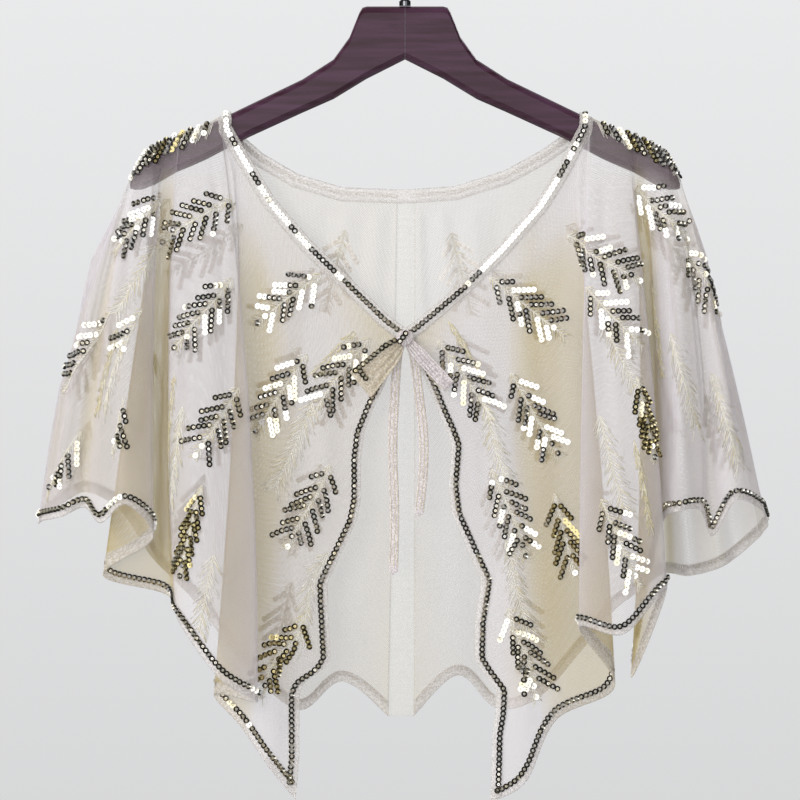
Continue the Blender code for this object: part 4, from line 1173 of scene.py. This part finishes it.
def sequin_row(cloth, start, angle, count, kind, source):
    """A straight row of sequins. Now and then they change in how they lie."""
    pressed_share, gold = KINDS[kind]
    shine = Shine(source, source.random() < pressed_share, gold)
    place, share = start
    spots = []
    for _ in range(count):
        if not on_cloth(cloth, place, share):
            break
        point, normal = cloth.spot(place, share)
        following = cloth.walk(place, share, angle, SEQUIN_PITCH)
        along = unit(cloth.spot(*following)[0] - point)
        spots.append(shine.sequin(point, normal, along, SEQUIN_LIFT))
        if source.random() < 0.16:
            shine = Shine(source, source.random() < pressed_share, gold)
        place, share = following
    return spots


def leaf_parts(cloth, leaf, threads, source):
    """One leaf: it adds its threads to the given ones by colour, and gives its sequins."""
    turn = math.radians(leaf.turn)
    stem = leaf_stem(cloth, leaf, turn, LEAF_STEP * (leaf.rows - 1))
    rows = [int((STEM_START + number * LEAF_STEP) / STEM_STEP) for number in range(leaf.rows)]
    rows = [index for index in rows if index < len(stem)]
    spots = []
    for side, spread in ((1, leaf.outer), (-1, leaf.inner)):
        if not spread:
            continue
        angle = turn + side * math.radians(spread)
        add_strokes(cloth, leaf, stem, angle, threads, source)
        for index in rows if leaf.kind in KINDS else ():
            turned = angle + math.radians(source.gauss(0.0, 2.5))
            start = cloth.walk(*stem[index], turned, STEM_ROOM + source.gauss(0.0, 0.0006))
            count = source.choice((3, 4, 4, 5) if index in (rows[0], rows[-1]) else (4, 5, 5))
            spots += sequin_row(cloth, start, turned, count, leaf.kind, source)
    if leaf.kind in KINDS:
        for index in range(rows[-1] + 3, len(stem), 3):
            if source.random() < 0.6:
                spots += sequin_row(cloth, stem[index], turn, 1, "bright", source)
    if leaf.kind != "glitter":
        threads["cream"] += stem_threads(cloth, stem, source)
    return spots


# The rows over a shoulder: how far out each starts on the top line, its count, and what it is made of
RIDGE_ROWS = (
    (0.16, 3, "dark"), (0.1665, 4, "mixed"), (0.173, 5, "dark"), (0.1795, 5, "gold"), (0.186, 5, "mixed"),
    (0.1925, 6, "gold"), (0.1985, 6, "dark"), (0.204, 7, "dark"), (0.209, 7, "mixed"),
)
RIDGE_TURN = 24.0
# How far from a row's start the strokes between the rows start
RIDGE_STROKES = (-0.0044, -0.0032, -0.0020)


def ridge_spray(cloth, source):
    """Short rows that start on a shoulder's top line and slope down and outwards over the hanger."""
    tops = [abs(cloth.line_at(place).top_x) for place in cloth.places]
    spots, strokes = [], []
    for across, count, kind in RIDGE_ROWS:
        angle = math.radians(RIDGE_TURN + source.gauss(0.0, 2.0))
        start = (float(np.interp(across, tops, cloth.places)), 0.004)
        spots += sequin_row(cloth, start, angle, count, kind, source)
        for nudge in RIDGE_STROKES:
            between = (float(np.interp(across + nudge, tops, cloth.places)), 0.006)
            strokes.append(stroke(cloth, between, angle, source.uniform(0.010, 0.018), source))
    return spots, strokes


def stem_threads(cloth, stem, source):
    """Three strands that wind about the stem's line."""
    strands = []
    for strand in range(3):
        phase = 2 * math.pi * strand / 3
        line = []
        for number, (place, share) in enumerate(stem):
            point, normal = cloth.spot(place, share)
            ahead = cloth.spot(place, min(share + 0.01, 1.0))[0] - point
            across = unit(np.cross(normal, ahead))
            sway = 0.0008 * math.sin(phase + number * 1.1) + source.gauss(0, 0.00015)
            line.append(point + normal * (0.0005 + 0.0002 * math.cos(phase + number * 1.1)) + across * sway)
        strands.append(line)
    return strands


def stitches(path):
    """A line of sewing: short threads that lie on the cloth."""
    made = []
    for point, normal, along in resample(path, STITCH_PITCH):
        middle = point + normal * SEWING_LIFT
        sunk = middle - normal * 0.0001
        made.append([sunk - along * STITCH / 2, middle, sunk + along * STITCH / 2])
    return made


# ---------------------------------------- tie

def make_loop(loop, material):
    """One loop of the bow: a soft strip that leaves the knot, turns over at its tip and comes back."""
    start = np.array([KNOT_CENTRE.x, KNOT_CENTRE.z])
    tip = np.array([loop.tip_x, loop.tip_z])
    out = unit(tip - start)
    side = np.array([-out[1], out[0]])
    turn = (loop.back_y - loop.front_y) / 2
    reach = np.linalg.norm(tip - start) - turn
    middle_y = (loop.back_y + loop.front_y) / 2
    path = [(share, 1.0, 0.0) for share in np.linspace(LOOP_START, 1.0, LOOP_STEPS)]
    path += [(1.0, math.cos(angle), math.sin(angle)) for angle in np.linspace(0, math.pi, 12)[1:-1]]
    path += [(share, -1.0, 0.0) for share in np.linspace(1.0, LOOP_START, LOOP_STEPS)]
    grid = []
    for share, layer, tip_turn in path:
        spread = LOOP_PINCH + (1.0 - LOOP_PINCH) * math.sin(min(share / LOOP_OPENS, 1.0) * math.pi / 2)
        along = share * reach + tip_turn * turn
        y = KNOT_CENTRE.y + (middle_y - KNOT_CENTRE.y) * spread + layer * turn * spread
        row = []
        for across in np.linspace(-0.5, 0.5, 25):
            spill = loop.flare * share * (across + 0.5)
            flat = start + out * along + side * (across * loop.width * spread + spill)
            pleat = 0.0007 * math.cos(across * 26.0 + layer) * (1.3 - share)
            edge = 0.0006 * (2 * abs(across)) ** 3
            row.append((flat[0], y - pleat + layer * edge, flat[1]))
        grid.append(row)
    grid = np.array(grid)
    grid_piece(loop.name + "_net", grid, [material], BAND_SHELL * 1.5, "binding", loop.name)
    front = grid[-LOOP_STEPS:]
    return facing_front(front[::-1, 2]), facing_front(front[2, 3:14])


def make_knot(material):
    """The knot: net wound round the crossing, with its turns standing proud."""
    points = []
    for step in range(1, KNOT_RINGS + 1):
        height = -1.0 + 2.0 * step / (KNOT_RINGS + 1)
        round_off = math.sqrt(1.0 - height**2)
        for angle in ring_angles(KNOT_SIDES):
            winding = 1.0 + 0.07 * math.cos(5.0 * math.pi * height + 1.5 * math.sin(angle)) * round_off
            deep, high = round_off * winding * math.cos(angle), round_off * winding * math.sin(angle)
            points.append(KNOT_CENTRE + KNOT_HALF * Vector((height, deep, high)))
    faces = side_faces(KNOT_RINGS, KNOT_SIDES)
    last_ring = len(points) - KNOT_SIDES
    for height, ring in ((-1.0, 0), (1.0, last_ring)):
        points.append(KNOT_CENTRE + Vector((KNOT_HALF.x * height, 0.0, 0.0)))
        for side in range(KNOT_SIDES):
            faces.append((len(points) - 1, ring + side, ring + (side + 1) % KNOT_SIDES))
    thing = new_object("tie_knot_net", points, faces, [material])
    work = bmesh.new()
    work.from_mesh(thing.data)
    bmesh.ops.recalc_face_normals(work, faces=work.faces)
    work.to_mesh(thing.data)
    work.free()
    add_uv(thing, np.array(points)[:, [0, 2]])
    finish_piece(thing, "binding", "tie_knot")


def facing_front(points):
    """A path of the given points whose normals all face the front."""
    return [(np.array(point), np.array([0.0, -1.0, 0.0])) for point in points]


def smooth_route(points, count):
    """Even steps along the smooth curve through the points, and its length."""
    rows = np.array(points)
    fine = np.array([catmull(rows, place) for place in np.linspace(0, len(rows) - 1, 400)])
    walked = path_lengths(fine)
    return interpolate(np.linspace(0.0, walked[-1], count), walked, fine), walked[-1]


def make_tail(name, points, material, source):
    """A free tail: a flattened roll of net, thicker along its two edges, with a rounded end."""
    route, length = smooth_route(points, 90)
    along = unit(np.gradient(route, axis=0))
    across = unit(np.cross(along, [0.0, 1.0, 0.0]))
    front = np.cross(across, along)
    rings = []
    for number, (here, sideways, forwards) in enumerate(zip(route, across, front)):
        share = number / (len(route) - 1)
        end = math.sqrt(max(1.0 - max((share - 0.975) / 0.025, 0.0) ** 2, 0.02))
        wide = TAIL_WIDTH / 2 * end * (0.72 + 0.28 * min(share / 0.15, 1.0))
        thick = TAIL_THICK / 2 * end * (1.0 + 0.08 * math.sin(number * 0.9))
        ring = []
        for angle in ring_angles(TAIL_SIDES):
            waist = 0.62 + 0.38 * abs(math.cos(angle))
            ring.append(here + sideways * wide * math.cos(angle) + forwards * thick * waist * math.sin(angle))
        rings.append(ring)
    flat = np.array(rings).reshape(-1, 3)
    thing = new_object(name + "_net", flat, tube_faces(len(rings), TAIL_SIDES), [material])
    add_uv(thing, flat[:, [0, 2]])
    finish_piece(thing, "binding", name)
    return tail_threads(route[4:-3], across[4:-3], front[4:-3], source)


def tail_threads(route, across, front, source):
    """Threads that sway a little down the side of a tail that faces the front."""
    threads = []
    for offset in TAIL_THREADS:
        line = []
        for number, (here, sideways, forwards) in enumerate(zip(route, across, front)):
            sway = 0.0004 * math.sin(number * 1.3 + offset * 9) + source.gauss(0, 0.0001)
            rise = forwards * math.copysign(TAIL_THICK * 0.46, -forwards[1])
            line.append(here + sideways * (offset * TAIL_WIDTH + sway) + rise)
        threads.append(line)
    return threads


def make_glue_line(material):
    """The thin line of glue that joins the hanger's two arms."""
    half_x, half_y = GLUE_HALF
    points = [(x, y, z) for x in (-half_x, half_x) for y in (-half_y, half_y) for z in GLUE_SPAN]
    faces = ((0, 1, 3, 2), (4, 6, 7, 5), (0, 4, 5, 1), (2, 3, 7, 6), (0, 2, 6, 4), (1, 5, 7, 3))
    finish_piece(new_object("hanger_glue_line", points, faces, [material], smooth=False), "plum_wood")


# ---------------------------------------- the stage

def light(name, place, width, power, mirrored):
    """A soft box that faces the garment. It isn't in the picture, and not all are seen in polished things."""
    lamp = bpy.data.lights.new(name, "AREA")
    lamp.size = width
    lamp.energy = power
    thing = bpy.data.objects.new(name, lamp)
    thing.location = place
    thing.rotation_euler = (LIGHTS_AIM - Vector(place)).to_track_quat("-Z", "Y").to_euler()
    thing.visible_camera = False
    thing.visible_glossy = mirrored
    bpy.context.scene.collection.objects.link(thing)


def make_world():
    """A pale studio, greyer lower down, in which polished things mirror pale screens and dark sides."""
    world = bpy.data.worlds.new("studio")
    bpy.context.scene.world = world
    world.use_nodes = True
    nodes = Nodes(world.node_tree)
    ray = nodes.node("ShaderNodeLightPath").outputs
    way = nodes.node("ShaderNodeTexCoord").outputs["Generated"]
    parts = nodes.node("ShaderNodeSeparateXYZ", {0: way}).outputs
    seen = nodes.ranged(parts["Z"], -0.12, 0.10, 0.68, 0.83, curve="LINEAR")
    mirrored = nodes.ranged(nodes.math("ABSOLUTE", parts["Y"]), 0.66, 0.86, 0.02, 0.52)
    choices = {0: ray["Is Glossy Ray"], 2: 0.56, 3: mirrored}
    lit = nodes.node("ShaderNodeMix", choices, data_type="FLOAT").outputs[0]
    choices = {0: ray["Is Camera Ray"], 2: lit, 3: seen}
    strength = nodes.node("ShaderNodeMix", choices, data_type="FLOAT").outputs[0]
    background = world.node_tree.nodes["Background"]
    nodes.feed(background.inputs["Strength"], strength)
    nodes.feed(background.inputs["Color"], (0.985, 0.99, 1.0, 1.0))


def make_floor():
    """A round pale floor that fades out towards its rim and isn't mirrored."""
    corners = np.linspace(0, 2 * math.pi, 97)[:-1]
    points = [(FLOOR_RADIUS * math.cos(a), FLOOR_RADIUS * math.sin(a), FLOOR_Z) for a in corners]
    shade = Shade("pale floor")
    where = shade.node("ShaderNodeTexCoord").outputs["Object"]
    distance = shade.node("ShaderNodeVectorMath", {0: where}, operation="LENGTH").outputs["Value"]
    shade.set(base_color=rgb(232, 232, 234), roughness=0.85, alpha=shade.ranged(distance, 1.6, 2.5, 1.0, 0.0))
    floor = new_object("floor", points, [range(len(points))], [shade.material])
    floor.visible_glossy = False


def make_stage():
    make_floor()
    light("front", (-1.87, -4.10, 0.03), 2.5, 27, True)
    light("front glow", (-1.87, -4.00, 0.03), 2.5, 52, False)
    light("behind", (1.87, 4.10, 0.03), 2.5, 27, True)
    light("behind glow", (1.87, 4.00, 0.03), 2.5, 20, False)
    light("key", (-2.4, -1.5, 1.5), 1.2, 56, False)
    light("top", (0.3, -0.3, 2.0), 1.2, 16, False)
    make_world()
    bpy.context.scene.view_settings.view_transform = "Standard"
    cycles = bpy.context.scene.cycles
    cycles.transparent_max_bounces = 40
    cycles.max_bounces = 6
    cycles.diffuse_bounces = 2


def make_camera():
    """Straight on, at the middle of the frame that the photo shows, from far off with a long lens."""
    camera = bpy.data.cameras.new("camera")
    camera.lens = LENS
    camera.sensor_width = SENSOR
    thing = bpy.data.objects.new("camera", camera)
    thing.location = (VIEW_CENTRE[0], -VIEW_WIDTH * LENS / SENSOR, VIEW_CENTRE[1])
    thing.rotation_euler = (math.pi / 2, 0.0, 0.0)
    bpy.context.scene.collection.objects.link(thing)
    bpy.context.scene.camera = thing


# ---------------------------------------- all of it

def make_materials():
    """The materials of all that is cloth, sequin or thread."""
    return {
        # Each net's second colour is the painted shade of its troughs.
        "front outside": net_material("lilac white net", rgb(223, 216, 229), rgb(207, 190, 144), 0.05, 0.36),
        "front inside": net_material("cream net", rgb(217, 209, 189), rgb(198, 180, 126), 0.05, 0.36),
        "back inside": net_material("back net inside", rgb(223, 217, 204), rgb(206, 194, 152), 0.06, 0.38),
        "back outside": net_material("back net outside", rgb(222, 215, 219), rgb(204, 192, 160), 0.06, 0.36),
        "border": tape_material("doubled net tape", 0.08, 0.42, rgb(214, 206, 198), rgb(255, 252, 250)),
        "seam": tape_material("flat net seam", 0.04, 0.22, rgb(220, 214, 196), rgb(246, 242, 228)),
        "tie": tape_material("gathered net tie", 0.42, 0.88, rgb(204, 194, 194), rgb(246, 238, 238)),
        "fan": tape_material("pleated net loop", 0.22, 0.62, rgb(196, 182, 156), rgb(236, 226, 208)),
        "sequins": [sequin_material(), backing_material()],
        "gold": thread_material("gold thread", rgb(214, 202, 164), rgb(255, 250, 230)),
        "cream": thread_material("cream thread", rgb(226, 220, 206), rgb(255, 254, 250)),
        "sewing": thread_material("sewing thread", rgb(214, 208, 204), rgb(250, 248, 246)),
    }


def make_borders(cloth, material):
    """The doubled bands along a wall's hem and, on a front, along its free edge and its neck."""
    readers = {"hem": hem_stations}
    if cloth.edge:
        readers.update(edge=edge_stations, neck=neck_stations)
    return [
        make_band(f"{kind}_band_{cloth.name}", reader(cloth), material, f"{kind}_binding_{cloth.name}")
        for kind, reader in readers.items()
    ]


def border_spots(cloth, source):
    """The lines of sequins along a wall's borders."""
    spots = row_spots(hem_path(cloth, ROW_INSET), source, ROW_LIFT, 0.20, 0.3)
    if cloth.edge:
        spots += row_spots(edge_path(cloth, ROW_INSET), source, ROW_LIFT, 0.12, 0.25)
    return spots + run_spots(neck_path(cloth, NECK_ROW), source, ROW_LIFT, NECK_RUNS[cloth.name])


def border_sewing(cloth):
    """The lines of sewing along a wall's borders."""
    paths = [hem_path(cloth, SEWING_INSET)]
    if cloth.edge:
        paths.append(edge_path(cloth, SEWING_INSET))
    paths += [neck_path(cloth, distance) for distance in NECK_SEWING]
    return [stitch for path in paths for stitch in stitches(path)]


def dress_wall(cloth, looks, source):
    """One wall of net with all that is sewn on it: the panel, and a list of its other pieces."""
    name, face = cloth.name, "front" if cloth.edge else "back"
    panel = make_panel(cloth, looks[face + " outside"], looks[face + " inside"])
    others = make_borders(cloth, looks["border"])
    row = border_spots(cloth, source)
    spots, strokes = ridge_spray(cloth, source)
    threads = {"gold": [], "cream": strokes}
    for values in LEAVES[name]:
        spots += leaf_parts(cloth, Leaf(*values), threads, source)
    others += [
        sequins(name + "_border_sequins", row, looks["sequins"]),
        sequins(name + "_leaf_sequins", spots, looks["sequins"]),
        tubes(name + "_gold_threads", threads["gold"], THREAD, looks["gold"]),
        tubes(name + "_cream_threads", threads["cream"], THREAD, looks["cream"]),
        tubes(name + "_sewing", border_sewing(cloth), THREAD * 0.6, looks["sewing"], "binding"),
    ]
    return panel, others


def make_cape(looks, source):
    """The four walls, the band across the back of the neck and the centre back seam."""
    walls = {name: Cloth(name, *parts) for name, parts in WALLS.items()}
    dressed = {name: dress_wall(cloth, looks, source) for name, cloth in walls.items()}
    left, right = walls["back_left"], walls["back_right"]
    whole_neck = neck_stations(left)[::-1] + neck_stations(right)
    dressed["back_left"][1].extend([
        make_band("neck_band_back", whole_neck, looks["border"], "neck_binding_back"),
        make_seam(left, right, looks["seam"]),
    ])


def make_tie(looks, source):
    spots = []
    for loop in LOOPS:
        edge, tip = make_loop(loop, looks["fan" if loop.flare else "tie"])
        if loop.flare:
            spots += row_spots(edge, source, LOOP_LIFT, 0.0, LOOP_GOLD)
            spots += row_spots(tip, source, LOOP_LIFT, 0.5, LOOP_GOLD)
    spots += row_spots(facing_front(KNOT_ROW), source, KNOT_LIFT, 0.0, LOOP_GOLD)
    sequins("tie_loop_sequins", spots, looks["sequins"])
    make_knot(looks["tie"])
    threads = make_tail("tie_tail_left", TAIL_LEFT, looks["tie"], source)
    threads += make_tail("tie_tail_right", TAIL_RIGHT, looks["tie"], source)
    threads.append(smooth_route(LOOSE_THREAD, 24)[0])
    tubes("tie_tail_threads", threads, THREAD * 0.8, looks["gold"])


def dress_hanger():
    """New materials for the hanger's own solids, and the glue between its arms."""
    wood, steel = wood_material(), steel_material()
    for node, material in (
        ("hanger_arm_left", wood), ("hanger_arm_right", wood), ("hook", steel), ("hook_ferrule", steel),
    ):
        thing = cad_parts[node]
        thing.data.materials.clear()
        thing.data.materials.append(material)
    make_glue_line(wood)


def main():
    source = random.Random(SEED)
    looks = make_materials()
    make_cape(looks, source)
    make_tie(looks, source)
    dress_hanger()
    make_stage()
    make_camera()


main()
